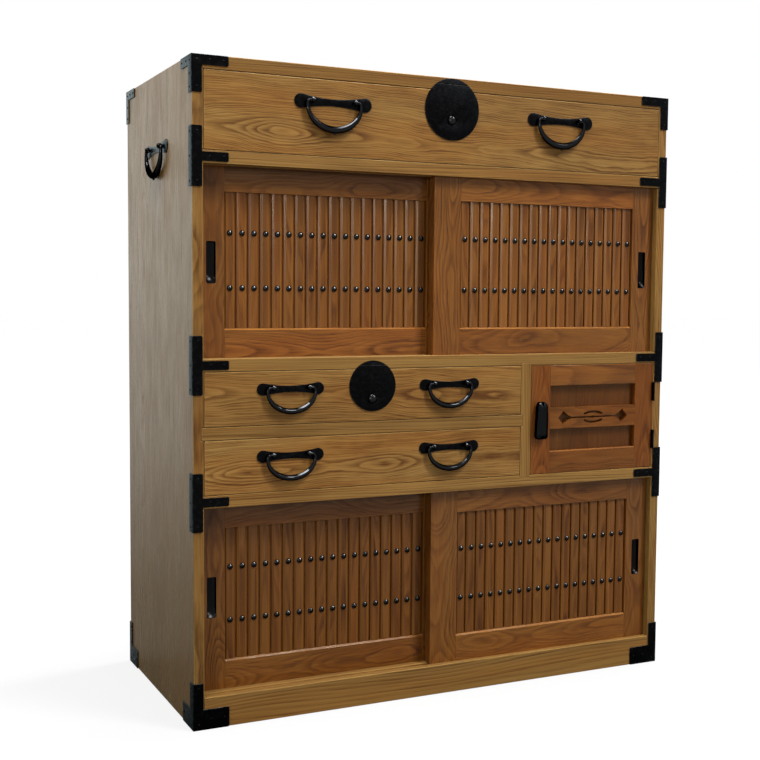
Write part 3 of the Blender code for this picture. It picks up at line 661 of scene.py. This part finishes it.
def box_shape(shape, low, high):
    """A block between two corners; returns its points."""
    size = high - low
    made = bmesh.ops.create_cube(shape, size=1.0)["verts"]
    bmesh.ops.scale(shape, vec=size, verts=made)
    bmesh.ops.translate(shape, vec=(low + high) / 2, verts=made)
    return made


def spin_round(shape, parts, axis, steps):
    bmesh.ops.spin(shape, geom=parts, cent=(0.0, 0.0, 0.0), axis=unit(axis), angle=math.tau, steps=steps,
                   use_merge=True, use_duplicate=False)


def turned(shape, profile, sides, place):
    """Spins a profile of (radius, height) points into a closed round shape and sets it in its place."""
    before = set(shape.verts)
    verts = [shape.verts.new((radius, 0.0, height)) for radius, height in profile]
    edges = [shape.edges.new(pair) for pair in zip(verts, verts[1:])]
    spin_round(shape, verts + edges, Z, sides)
    bmesh.ops.remove_doubles(shape, verts=newer(shape, before), dist=1e-6)
    made = newer(shape, before)
    bmesh.ops.recalc_face_normals(shape, faces=faces_of(made))
    bmesh.ops.transform(shape, matrix=place, verts=made)


to_front = Matrix.Rotation(math.pi / 2, 4, "X")
to_left = Matrix.Rotation(-math.pi / 2, 4, "Y")
to_right = Matrix.Rotation(math.pi / 2, 4, "Y")


def new_object(name, data):
    made = bpy.data.objects.new(name, data)
    bpy.context.scene.collection.objects.link(made)
    return made


def add_piece(name, shape, body, finish, replaced=(), round_angle=None, front_finish=None):
    """Makes a shape an object, rides it on its body and hides the solids that it replaces."""
    mesh = bpy.data.meshes.new(name)
    shape.to_mesh(mesh)
    shape.free()
    if "custom_normal" in mesh.attributes:
        mesh.attributes.remove(mesh.attributes["custom_normal"])
    mesh.polygons.foreach_set("use_smooth", [round_angle is not None] * len(mesh.polygons))
    if round_angle is not None:
        mesh.set_sharp_from_angle(angle=math.radians(round_angle))
    mesh.materials.clear()
    mesh.materials.append(finish)
    if front_finish is not None:
        mesh.materials.append(front_finish)
        for polygon in mesh.polygons:
            polygon.material_index = 1 if polygon.normal.y < -0.6 else 0
    piece = new_object(name, mesh)
    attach(piece, body)
    if replaced:
        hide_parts(*replaced)


def add_iron(name, shape, body, finish, replaced=(), round_angle=35.0):
    add_piece(name, shape, body, finish, replaced, round_angle)


# Boards of the carcass and drawers

def board(name, along, finish, width, tone, pith=open_pith, run=open_run, front_finish=None,
          painted_shade_shares=None):
    """A packed board with eased edges and its own run of grain."""
    shape = node_shape(name)
    low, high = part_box(name)
    ease(shape, width)
    lay_grain(shape, shape.verts, low, high, along, tone, pith, run)
    # Painted shade, when given, from the foot of the board to its top
    if painted_shade_shares is not None:
        paint_shade_up(shape, low, high, painted_shade_shares)
    add_piece(f"{name}_wood", shape, body_of(name), finish, (name,), None, front_finish)


for name in ("left_side", "right_side"):
    board(name, Z, flank, board_ease, 1.0, side_pith, open_run, honey, side_painted_shade)
for name, along, width, tone, pith in straight_boards:
    board(name, along, honey, width, tone, pith, straight_run)
for drawer, tone in drawer_tones.items():
    board(f"{drawer}_front", X, figured, drawer_ease, tone, drawer_pith)
for drawer in drawer_tones:
    board(f"{drawer}_box", Y, pale, rail_ease, box_tone)


def back_panel():
    """The back, made up of upright boards with a narrow joint between them."""
    low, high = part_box("back_panel")
    shape = new_shape()
    pitch = (high.x - low.x) / back_boards
    for number in range(back_boards):
        left = Vector((low.x + number * pitch, low.y, low.z))
        right = Vector((left.x + pitch - back_joint, high.y, high.z))
        before = set(shape.verts)
        made = box_shape(shape, left, right)
        bevel(shape, edges_of(made), board_ease, 2)
        lay_grain(shape, newer(shape, before), left, right, Z, dice.uniform(0.9, 1.05))
    lining_low = low + Vector((joint_gap, joint_gap, joint_gap))
    lining_high = Vector((high.x - joint_gap, low.y + back_lining, high.z - joint_gap))
    made = box_shape(shape, lining_low, lining_high)
    lay_grain(shape, made, low, Vector((high.x, low.y + back_lining, high.z)), Z, lining_tone)
    add_piece("back_panel_boards", shape, "carcass", pale, ("back_panel",))


back_panel()


# Sliding doors

def paint_edge_shade(shape, low_x, high_x):
    """Painted shade: the narrow outer edges of a door are made darker than its face."""
    shade = shape.verts.layers.float["tone"]
    for vert in shape.verts:
        if min(vert.co.x - low_x, high_x - vert.co.x) < hair:
            vert[shade] *= door_edge_painted_shade


def door_frame(name, field_low, field_high, looks):
    """Two stiles run the full height; the rails end between them."""
    solid = f"{name}_frame"
    low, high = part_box(solid)
    middle_z = (field_low.z + field_high.z) / 2
    parts = (
        ("left_stile", Z, None, field_low.x - seam, None, None),
        ("right_stile", Z, field_high.x + seam, None, None, None),
        ("top_rail", X, field_low.x + seam, field_high.x - seam, middle_z, None),
        ("bottom_rail", X, field_low.x + seam, field_high.x - seam, None, middle_z),
    )
    for word, along, *places in parts:
        shape = frame_part(solid, *places)
        if word == "bottom_rail":
            bevel(shape, edges_on(shape, {Y: low.y, Z: field_low.z}), field_chamfer, 1)
        ease(shape, rail_ease, 2, 50.0)
        part_low, part_high = extent(shape)
        tone = looks["tone"] * dice.uniform(0.96, 1.04)
        if word == "top_rail":
            tone *= looks["top"]
        if word == "bottom_rail":
            tone *= looks["bottom"]
        lay_grain(shape, shape.verts, part_low, part_high, along, tone)
        paint_edge_shade(shape, low.x, high.x)
        # Painted shadow of the rail above, darkest at the top of the top rail
        if word == "top_rail":
            paint_shade_up(shape, part_low, part_high, looks["painted_rail_shadow"])
        replaced = (solid,) if word == "left_stile" else ()
        add_piece(f"{name}_{word}", shape, name, amber, replaced)


def door_slats(name, field_low, field_high, tone):
    """A row of chamfered bars on a thin back, each cut from another place in the plank."""
    low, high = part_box(f"{name}_slats")
    shape = new_shape()
    back_low = Vector((low.x, high.y - slat_backing, low.z))
    made = box_shape(shape, back_low, high)
    lay_grain(shape, made, back_low, high, Z, tone * backing_painted_light)
    inner_low = field_low.x + joint_gap
    pitch = (field_high.x - field_low.x - 2 * joint_gap) / slat_count
    middles = []
    for number in range(slat_count):
        left = inner_low + number * pitch + (slat_gap / 2 if number else 0.0)
        right = inner_low + (number + 1) * pitch - (slat_gap / 2 if number < slat_count - 1 else 0.0)
        middle = (left + right) / 2
        slat_low = Vector((left, low.y, field_low.z + joint_gap))
        slat_high = Vector((right, back_low.y + slat_sink, field_high.z - joint_gap))
        before = set(shape.verts)
        made = box_shape(shape, slat_low, slat_high)
        front = [edge for edge in edges_of(made)
                 if lies_at(edge.verts, Y, slat_low.y) and lies_at(edge.verts, X, edge.verts[0].co.x)]
        bevel(shape, front, slat_chamfer, 1)
        made = newer(shape, before)
        face = [vert for vert in made if lies_at((vert,), Y, slat_low.y)]
        narrow = 1.0 - 2 * slat_slant / (right - left - 2 * slat_chamfer)
        bmesh.ops.scale(shape, vec=(narrow, 1.0, 1.0), verts=face, space=at(-middle, 0.0, 0.0))
        long_edges = [edge for edge in edges_of(made)
                      if abs(edge.verts[0].co.z - edge.verts[1].co.z) > slat_end
                      and edge.verts[0].co.y < slat_high.y - hair]
        bevel(shape, long_edges, slat_ease, 1)
        slat_tone = tone * dice.uniform(0.95, 1.06)
        lay_grain(shape, newer(shape, before), slat_low, slat_high, Z, slat_tone, slat_pith, slat_run)
        middles.append(middle)
    add_piece(f"{name}_slat_row", shape, name, amber, (f"{name}_slats",))
    return middles, low.y


def door_studs(name, middles, face_y, field_low, field_high):
    shape = new_shape()
    for height in (field_low.z + stud_row_inset, field_high.z - stud_row_inset):
        for middle in middles:
            turned(shape, stud_profile, stud_sides, at(middle, face_y, height) @ to_front)
    paint_top_highlights(shape, stud_highlight_reach)
    add_iron(f"{name}_studs", shape, name, buffed, (), 50.0)


def finger_cup(name, side):
    """An iron cup let into the outer stile, scooped out at its foot, with a narrow rim on its face."""
    low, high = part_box(f"{name}_frame")
    panel_low, panel_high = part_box(f"{name}_slats")
    outer = high.x if side > 0 else low.x
    middle = Vector((outer - side * cup_setback, low.y, (panel_low.z + panel_high.z) / 2 - cup_drop))
    half = Vector((cup_width / 2 - cup_play, 0.0, cup_height / 2 - cup_play))
    shape = new_shape()
    box_shape(shape, middle - half, middle + half + Vector((0.0, cup_depth, 0.0)))
    front = [face for face in shape.faces if lies_at(face.verts, Y, low.y)]
    corners = [edge for edge in shape.edges if abs(edge.verts[0].co.y - edge.verts[1].co.y) > cup_depth / 2]
    bmesh.ops.delete(shape, geom=front, context="FACES_ONLY")
    bevel(shape, corners, cup_corner, 4)
    bevel(shape, edges_on(shape, {Y: low.y + cup_depth}), cup_floor_round, 6)
    foot = middle.z - half.z
    for step in cup_scoop[1:]:
        cut_across(shape, Z, foot + step[0])
    for share in cup_cuts:
        cut_across(shape, X, middle.x + share * half.x)
    for vert in shape.verts:
        across = (vert.co.x - middle.x) / half.x
        deepest = along_profile(cup_scoop, vert.co.z - foot) - cup_dish * across ** 2
        vert.co.y = min(vert.co.y, low.y + max(deepest, 0.0))
    lip = [edge for edge in shape.edges if edge.is_boundary]
    rim = points_in(bmesh.ops.extrude_edge_only(shape, edges=lip)["geom"])
    grow = Vector((1.0 + 2 * cup_rim / cup_width, 1.0, 1.0 + 2 * cup_rim / cup_height))
    bmesh.ops.scale(shape, vec=grow, verts=rim, space=Matrix.Translation(-middle))
    face_out(shape)
    bmesh.ops.solidify(shape, geom=shape.faces[:], thickness=cup_wall)
    face_out(shape)
    shift(shape, 0.0, -cup_proud, 0.0)
    add_iron(f"{name}_finger_cup", shape, name, lined, (), 45.0)


def sliding_door(name, looks):
    panel_low, panel_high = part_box(f"{name}_slats")
    rim = Vector((slat_rim, 0.0, slat_rim))
    field_low = panel_low + rim
    field_high = panel_high - rim
    door_frame(name, field_low, field_high, looks)
    middles, face_y = door_slats(name, field_low, field_high, looks["tone"])
    door_studs(name, middles, face_y, field_low, field_high)
    finger_cup(name, looks["side"])


for name, looks in doors.items():
    sliding_door(name, looks)


# Small cupboard door

def small_door():
    """Stiles, rails and the pierced middle rail, each with its own grain, round a thin panel."""
    solid = "small_door_frame"
    face_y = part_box(solid)[0].y
    panel_low, panel_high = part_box("small_door_panel")
    window_low = panel_low.x + panel_lap
    window_high = panel_high.x - panel_lap
    bottom = panel_low.z + panel_lap
    top = panel_high.z - panel_lap
    fret_low = (bottom + top) / 2 - fret_half
    fret_high = (bottom + top) / 2 + fret_half
    lower_gap = (bottom + fret_low) / 2
    upper_gap = (fret_high + top) / 2
    parts = (
        ("left_stile", Z, None, window_low - seam, None, None),
        ("right_stile", Z, window_high + seam, None, None, None),
        ("bottom_rail", X, window_low + seam, window_high - seam, None, lower_gap),
        ("fret_rail", X, window_low + seam, window_high - seam, lower_gap, upper_gap),
        ("top_rail", X, window_low + seam, window_high - seam, upper_gap, None),
    )
    chamfers = dict(bottom_rail=bottom, fret_rail=fret_high)
    for word, along, *places in parts:
        shape = frame_part(solid, *places)
        if word in chamfers:
            bevel(shape, edges_on(shape, {Y: face_y, Z: chamfers[word]}), window_chamfer, 1)
        ease(shape, fret_ease if word == "fret_rail" else rail_ease, 2, 50.0)
        part_low, part_high = extent(shape)
        tone = small_part_tone[word]
        if word == "top_rail":
            finish = amber
            lay_grain(shape, shape.verts, part_low, part_high, along, tone, shelf_pith, straight_run)
        else:
            finish = russet
            lay_grain(shape, shape.verts, part_low, part_high, along, tone * dice.uniform(0.98, 1.02))
        replaced = (solid,) if word == "left_stile" else ()
        add_piece(f"small_door_{word}", shape, "small_door", finish, replaced)
    shape = node_shape("small_door_panel")
    lay_grain(shape, shape.verts, panel_low, panel_high, Z, small_panel_tone, panel_pith)
    add_piece("small_door_panel_wood", shape, "small_door", russet, ("small_door_panel",))


def small_hinge(word):
    """A leaf let into the door's edge, and a knuckle in three lengths with rounded ends."""
    solid = f"small_door_hinge_{word}"
    low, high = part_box(solid)
    shape = new_shape()
    axis_x = (low.x + high.x) / 2
    axis_y = low.y + hinge_radius
    leaf_low = Vector((axis_x - hinge_radius + leaf_inset, axis_y, low.z + leaf_gap))
    leaf_high = Vector((axis_x, high.y, high.z - leaf_gap))
    box_shape(shape, leaf_low, leaf_high)
    length = (high.z - low.z) / knuckle_count
    top = length - hinge_joint
    inner = hinge_radius - knuckle_round
    profile = ((0.0, 0.0), (inner, 0.0), (hinge_radius, knuckle_round), (hinge_radius, top - knuckle_round),
               (inner, top), (0.0, top))
    for number in range(knuckle_count):
        foot = low.z + number * length + hinge_joint / 2
        turned(shape, profile, knuckle_sides, at(axis_x, axis_y, foot))
    pin = hinge_radius - hinge_pin_wall
    pin_length = high.z - low.z - 2 * hinge_pin_inset
    pin_profile = ((0.0, 0.0), (pin, 0.0), (pin, pin_length), (0.0, pin_length))
    turned(shape, pin_profile, hinge_pin_sides, at(axis_x, axis_y, low.z + hinge_pin_inset))
    add_iron(f"{solid}_iron", shape, "small_door", black, (solid,))


def drop_pull():
    """The pull, domed and rounded over at the front, and the staple that it hangs on."""
    solid = "small_door_pull"
    shape = node_shape(solid)
    low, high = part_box(solid)
    middle = (low + high) / 2
    half = (high.x - low.x) / 2
    for share in pull_cuts:
        cut_across(shape, X, middle.x + share * half)
    for step in pull_crown[1:]:
        cut_across(shape, Z, high.z - step[0])
        cut_across(shape, Z, high.z - step[0] + pull_crown[1][0] / 2)
    for number in range(1, pull_levels):
        cut_across(shape, Z, low.z + (high.z - low.z) * number / pull_levels)
    ease(shape, pull_ease, 5, 50.0)
    for vert in shape.verts:
        forward = (middle.y - vert.co.y) / (middle.y - low.y)
        if forward > 0.0:
            across = math.sqrt(max(0.0, 1.0 - ((vert.co.x - middle.x) / half) ** 2))
            crown = along_profile(pull_crown, high.z - vert.co.z)
            foot = 1.0 - (1.0 - min(1.0, (vert.co.z - low.z) / pull_foot)) ** 2
            vert.co.y -= pull_dome * forward * across * crown * foot
    shift(shape, pull_shift, 0.0, 0.0)
    add_iron("small_door_pull_iron", shape, "small_door_pull", glossy, (solid,))
    solid = "small_door_pull_staple"
    shape = node_shape(solid)
    ease(shape, staple_ease, 2, 40.0)
    shift(shape, pull_shift, 0.0, 0.0)
    add_iron("small_door_staple_iron", shape, "small_door", polished, (solid,))


small_door()
small_hinge("upper")
small_hinge("lower")
drop_pull()


# Irons round the edges

def nail(shape, x, y, z, facing):
    turned(shape, nail_profile, nail_sides, at(x, y, z) @ facing)


def iron_shape(solid, is_corner):
    """A folded plate with rounded corners and a soft fold, and the nails that hold it."""
    low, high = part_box(solid)
    side = 1.0 if low.x > 0 else -1.0
    outer = high.x if side > 0 else low.x
    inner = low.x if side > 0 else high.x
    sideways = to_right if side > 0 else to_left
    shape = node_shape(solid)
    corners = [edge for edge in shape.edges
               if edge.is_convex and abs(edge.calc_length() - iron_thickness) < 1e-4]
    bevel(shape, corners, iron_corner, 3)
    bevel(shape, edges_on(shape, {X: outer, Y: low.y}), iron_fold, 3)
    ease(shape, iron_ease, 1, 40.0)
    ends = (low.z + nail_inset, high.z - nail_inset)
    middle = (low.z + high.z) / 2
    for height in ends:
        nail(shape, outer - side * upright_inset, low.y, height, to_front)
    for height in ends + (middle,):
        nail(shape, outer, low.y + flange_inset, height, sideways)
    arm_z = middle
    if "top" in solid:
        arm_z = high.z - top_arm
    if "foot" in solid:
        arm_z = low.z + foot_arm
    for inset in arm_insets:
        nail(shape, inner + side * inset, low.y, arm_z, to_front)
        if is_corner:
            nail(shape, outer, high.y - inset, arm_z, sideways)
    return shape


def rear_iron(solid, side_board):
    """The same iron, mirrored to the back of the side board."""
    shape = iron_shape(solid, True)
    side_low, side_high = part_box(side_board)
    center = at(0.0, -(side_low.y + side_high.y) / 2, 0.0)
    bmesh.ops.scale(shape, vec=(1.0, -1.0, 1.0), verts=shape.verts, space=center)
    bmesh.ops.reverse_faces(shape, faces=shape.faces)
    return shape


for word in ("left", "right"):
    for level in ("upper", "middle", "lower", "top", "foot"):
        solid = f"iron_{level}_{word}"
        is_corner = level in ("top", "foot")
        add_iron(f"{solid}_plate", iron_shape(solid, is_corner), "carcass", black, (solid,))
        if is_corner:
            add_iron(f"iron_rear_{level}_{word}", rear_iron(solid, f"{word}_side"), "carcass", black)


# Handles

def handle_plate(shape, sizes):
    """Two round lobes joined by a waist that curves in."""
    lobe = sizes["lobe"]
    half = sizes["waist"] / 2
    offset = sizes["length"] / 2 - lobe
    hollow = (offset ** 2 + half ** 2 - lobe ** 2) / (2 * (lobe - half))
    swing = math.pi - math.atan2(half + hollow, offset)
    sweep = 2 * (math.pi / 2 - math.atan2(half + hollow, offset))
    last = shape.verts.new((offset + lobe * math.cos(-swing), 0.0, lobe * math.sin(-swing)))
    arcs = ((offset, 0.0, -2 * swing, lobe_steps), (0.0, half + hollow, sweep, waist_steps),
            (-offset, 0.0, -2 * swing, lobe_steps), (0.0, -half - hollow, sweep, waist_steps))
    for center_x, center_z, angle, steps in arcs:
        made = bmesh.ops.spin(shape, geom=[last], cent=(center_x, 0.0, center_z), axis=(0.0, 1.0, 0.0),
                              angle=angle, steps=steps, use_merge=False, use_duplicate=False)
        last = points_in(made["geom_last"])[0]
    bmesh.ops.remove_doubles(shape, verts=shape.verts, dist=1e-5)
    face = bmesh.ops.contextual_create(shape, geom=shape.edges[:])["faces"]
    thicken(shape, face)
    front = [edge for edge in sharp_edges(shape, 50.0) if edge.verts[0].co.y < -plate_thickness / 2]
    bevel(shape, front, plate_ease, 2)
    shift(shape, 0.0, -joint_gap, 0.0)


def thicken(shape, faces):
    """Gives a flat sheet the thickness of a plate, towards the front."""
    made = bmesh.ops.extrude_face_region(shape, geom=faces)["geom"]
    bmesh.ops.translate(shape, vec=(0.0, -plate_thickness, 0.0), verts=points_in(made))
    face_out(shape)


def eye_ring(shape, x):
    """A staple's eye: a thick ring round the bail's pin."""
    wall = (eye_radius - eye_bore) / 2
    before = set(shape.verts)
    loop = bmesh.ops.create_circle(shape, cap_ends=False, segments=eye_sides, radius=1.0)["verts"]
    bmesh.ops.scale(shape, vec=(wall, eye_width / 2, 1.0), verts=loop)
    bmesh.ops.translate(shape, vec=(eye_radius - wall, 0.0, 0.0), verts=loop)
    spin_round(shape, loop + edges_of(loop), Y, eye_steps)
    made = newer(shape, before)
    bmesh.ops.recalc_face_normals(shape, faces=faces_of(made))
    place = at(x, -eye_reach, eye_rise) @ Matrix.Rotation(math.pi / 2, 4, "Z")
    bmesh.ops.transform(shape, matrix=place, verts=made)


def bail_path(sizes):
    """Points and radii from one pin to the other, swelling towards the grip."""
    eye = sizes["spacing"] / 2
    width = sizes["width"] / 2
    drop = sizes["drop"]
    shoulder = width - bail_shoulder
    half = [(eye - eye_width / 2 - pin_overhang, 0.0, pin_radius), (eye + eye_width / 2, 0.0, pin_radius)]
    for step in range(bail_turns + 1):
        angle = math.pi / 2 * (1 - step / bail_turns)
        half.append((shoulder + bail_shoulder * math.cos(angle),
                     -bail_shoulder + bail_shoulder * math.sin(angle), pin_radius))
    for step in range(1, bail_steps + 1):
        angle = math.pi / 2 * step / bail_steps
        swell = math.sin(angle)
        half.append((width * math.cos(angle), -bail_shoulder - (drop - bail_shoulder) * swell,
                     pin_radius + (sizes["grip"] - pin_radius) * swell))
    return [(-x, z, radius) for x, z, radius in half] + half[-2::-1]


def bail_shape(shape, sizes):
    """Rings of the bail's own thickness set along its path and joined."""
    path = bail_path(sizes)
    lean = math.radians(sizes["lean"])
    inner_front = Vector((-math.sin(lean), -math.cos(lean), 0.0))
    rings = []
    for number, (x, z, radius) in enumerate(path):
        before = path[max(number - 1, 0)]
        after = path[min(number + 1, len(path) - 1)]
        turn = Matrix.Rotation(math.atan2(after[0] - before[0], after[1] - before[1]), 4, "Y")
        is_end = number in (0, len(path) - 1)
        verts = bmesh.ops.create_circle(shape, cap_ends=is_end, segments=bail_sides, radius=radius)["verts"]
        swell = (radius - pin_radius) / (sizes["grip"] - pin_radius)
        reach = radius * (1.0 - (1.0 - bail_flat) * swell)
        for vert in verts:
            vert.co -= inner_front * max(0.0, vert.co.dot(inner_front) - reach)
        bmesh.ops.transform(shape, matrix=at(x, 0.0, z) @ turn, verts=verts)
        rings.append(edges_of(verts))
    for first, second in zip(rings, rings[1:]):
        bmesh.ops.bridge_loops(shape, edges=first + second)
    face_out(shape)
    shift(shape, 0.0, -eye_reach, eye_rise)


def handle(name, sizes, turn=None):
    """A plate with its eyes on a face, and the bail that swings in them."""
    solid = f"{name}_plate"
    low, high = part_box(solid)
    middle = (low + high) / 2
    if turn is None:
        place = at(middle.x, high.y + joint_gap, middle.z)
    else:
        face_x = (high.x + joint_gap) if middle.x < 0 else (low.x - joint_gap)
        place = at(face_x, middle.y, middle.z) @ turn
    plate = new_shape()
    handle_plate(plate, sizes)
    bmesh.ops.transform(plate, matrix=place, verts=plate.verts)
    add_iron(f"{solid}_iron", plate, body_of(solid), black, (solid,))
    eyes = new_shape()
    for end in (-1, 1):
        eye_ring(eyes, end * sizes["spacing"] / 2)
    bmesh.ops.transform(eyes, matrix=place, verts=eyes.verts)
    paint_top_highlights(eyes, eye_highlight_reach)
    add_iron(f"{name}_eyes_iron", eyes, body_of(solid), polished)
    bail = new_shape()
    bail_shape(bail, sizes)
    if sizes is large_handle:
        foot = eye_rise - sizes["drop"] - sizes["grip"]
        turned(bail, nub_profile, nub_sides, at(0.0, -eye_reach, foot) @ Matrix.Rotation(math.pi, 4, "X"))
    bmesh.ops.transform(bail, matrix=place, verts=bail.verts)
    grip = f"{name}_bail"
    add_iron(f"{grip}_iron", bail, body_of(grip), polished, (grip,), 13.0)


handle("left_handle", large_handle, Matrix.Rotation(-math.pi / 2, 4, "Z"))
handle("right_handle", large_handle, Matrix.Rotation(math.pi / 2, 4, "Z"))
for end in ("left", "right"):
    handle(f"top_drawer_{end}", large_handle)
    handle(f"upper_drawer_{end}", small_handle)
    handle(f"lower_drawer_{end}", small_handle)


# Locks

def ease_front(shape, face_y):
    """Rounds the edge of a plate's front face."""
    rim = [edge for edge in sharp_edges(shape, 50.0) if lies_at(edge.verts, Y, face_y)]
    bevel(shape, rim, lock_ease, 2)


def lock(drawer, radius, center_x, center_z):
    """The round plate in the drawer, its fixed strike above the split, its button and two rivets."""
    solid = f"{drawer}_lock"
    low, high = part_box(solid)
    shape = node_shape(solid)
    ease_front(shape, low.y)
    for over, up in rivet_places:
        turned(shape, rivet_profile, nail_sides, at(center_x + over, low.y, center_z + up) @ to_front)
    add_iron(f"{solid}_plate", shape, drawer, hammered, (solid,))
    shape = new_shape()
    bmesh.ops.create_circle(shape, cap_ends=True, segments=lock_sides, radius=radius,
                            matrix=at(center_x, low.y + plate_thickness, center_z) @ to_front)
    thicken(shape, shape.faces[:])
    keep_between(shape, Z, high.z + strike_gap, None)
    ease_front(shape, low.y)
    add_iron(f"{drawer}_strike", shape, "carcass", hammered)
    button = f"{solid}_button"
    button_low, button_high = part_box(button)
    middle = (button_low + button_high) / 2
    shape = new_shape()
    turned(shape, button_profile, button_sides, at(middle.x, low.y, middle.z) @ to_front)
    add_iron(f"{button}_iron", shape, body_of(button), buffed, (button,), 40.0)


lock("top_drawer", **top_lock)
lock("upper_drawer", **upper_lock)


# Stage, light and camera

def floor():
    """A plain floor that keeps the chest's shadow and is pale where it is seen or mirrored."""
    shape = bmesh.new()
    bmesh.ops.create_grid(shape, x_segments=1, y_segments=1, size=floor_reach)
    shift(shape, 0.0, 0.0, -floor_drop)
    mesh = bpy.data.meshes.new("studio_floor")
    shape.to_mesh(mesh)
    shape.free()
    material, tree, shader = new_finish("studio_floor_paint")
    feed(tree, shader, {"Base Color": (*grey(0.11), 1.0), "Roughness": 0.9, "Specular IOR Level": 0.0})
    path = node(tree, "ShaderNodeLightPath")
    place = node(tree, "ShaderNodeTexCoord").outputs["Object"]
    reach = vector_calc(tree, "LENGTH", {0: place})["Value"]
    paleness = spread(tree, reach, 1.2, 4.0, 0.80, 0.98)
    far = spread(tree, reach, 0.85, 4.5, 0.0, 0.68)
    forward = node(tree, "ShaderNodeSeparateXYZ", {0: place}).outputs["Y"]
    ahead = spread(tree, calc(tree, "MULTIPLY", forward, -1.0), 0.3, 1.5, 0.0, 0.75)
    mirrored = calc(tree, "MAXIMUM", far, ahead)
    seen = calc(tree, "MULTIPLY", path.outputs["Is Camera Ray"], paleness)
    seen = add_times(tree, path.outputs["Is Glossy Ray"], mirrored, seen)
    glow = node(tree, "ShaderNodeEmission", {"Strength": seen})
    both = node(tree, "ShaderNodeAddShader", {0: shader.outputs[0], 1: glow.outputs[0]})
    feed(tree, tree.nodes["Material Output"], {"Surface": both.outputs[0]})
    mesh.materials.append(material)
    plane = new_object("studio_floor", mesh)


def sky(level):
    """An even white room: white where it is seen or mirrored, softer where it lights."""
    world = bpy.data.worlds.new("studio")
    world.use_nodes = True
    bpy.context.scene.world = world
    tree = world.node_tree
    path = node(tree, "ShaderNodeLightPath")
    seen = calc(tree, "MAXIMUM", path.outputs["Is Camera Ray"], path.outputs["Is Glossy Ray"])
    seen = calc(tree, "MAXIMUM", seen, path.outputs["Is Transmission Ray"])
    strength = add_times(tree, seen, 1.0 - level, level)
    feed(tree, tree.nodes["Background"], {"Strength": strength, "Color": (*grey(1.0), 1.0)})


def lamp(name, place, aim, width, height, power, spin):
    light = bpy.data.lights.new(name, "AREA")
    light.shape = "RECTANGLE"
    light.size = width
    light.size_y = height
    light.energy = power
    holder = new_object(name, light)
    holder.location = place
    facing = (Vector(aim) - Vector(place)).to_track_quat("-Z", "Y").to_matrix()
    holder.rotation_euler = (facing @ Matrix.Rotation(math.radians(spin), 3, "Z")).to_euler()


def camera():
    view = bpy.data.cameras.new("camera")
    view.lens = view_lens
    view.sensor_width = view_width
    holder = new_object("camera", view)
    holder.location = view_place
    holder.rotation_euler = [math.radians(turn) for turn in view_turns]
    bpy.context.scene.camera = holder


floor()
sky(sky_level)
for settings in lamps:
    lamp(*settings)
camera()
bpy.context.scene.view_settings.view_transform = "Standard"
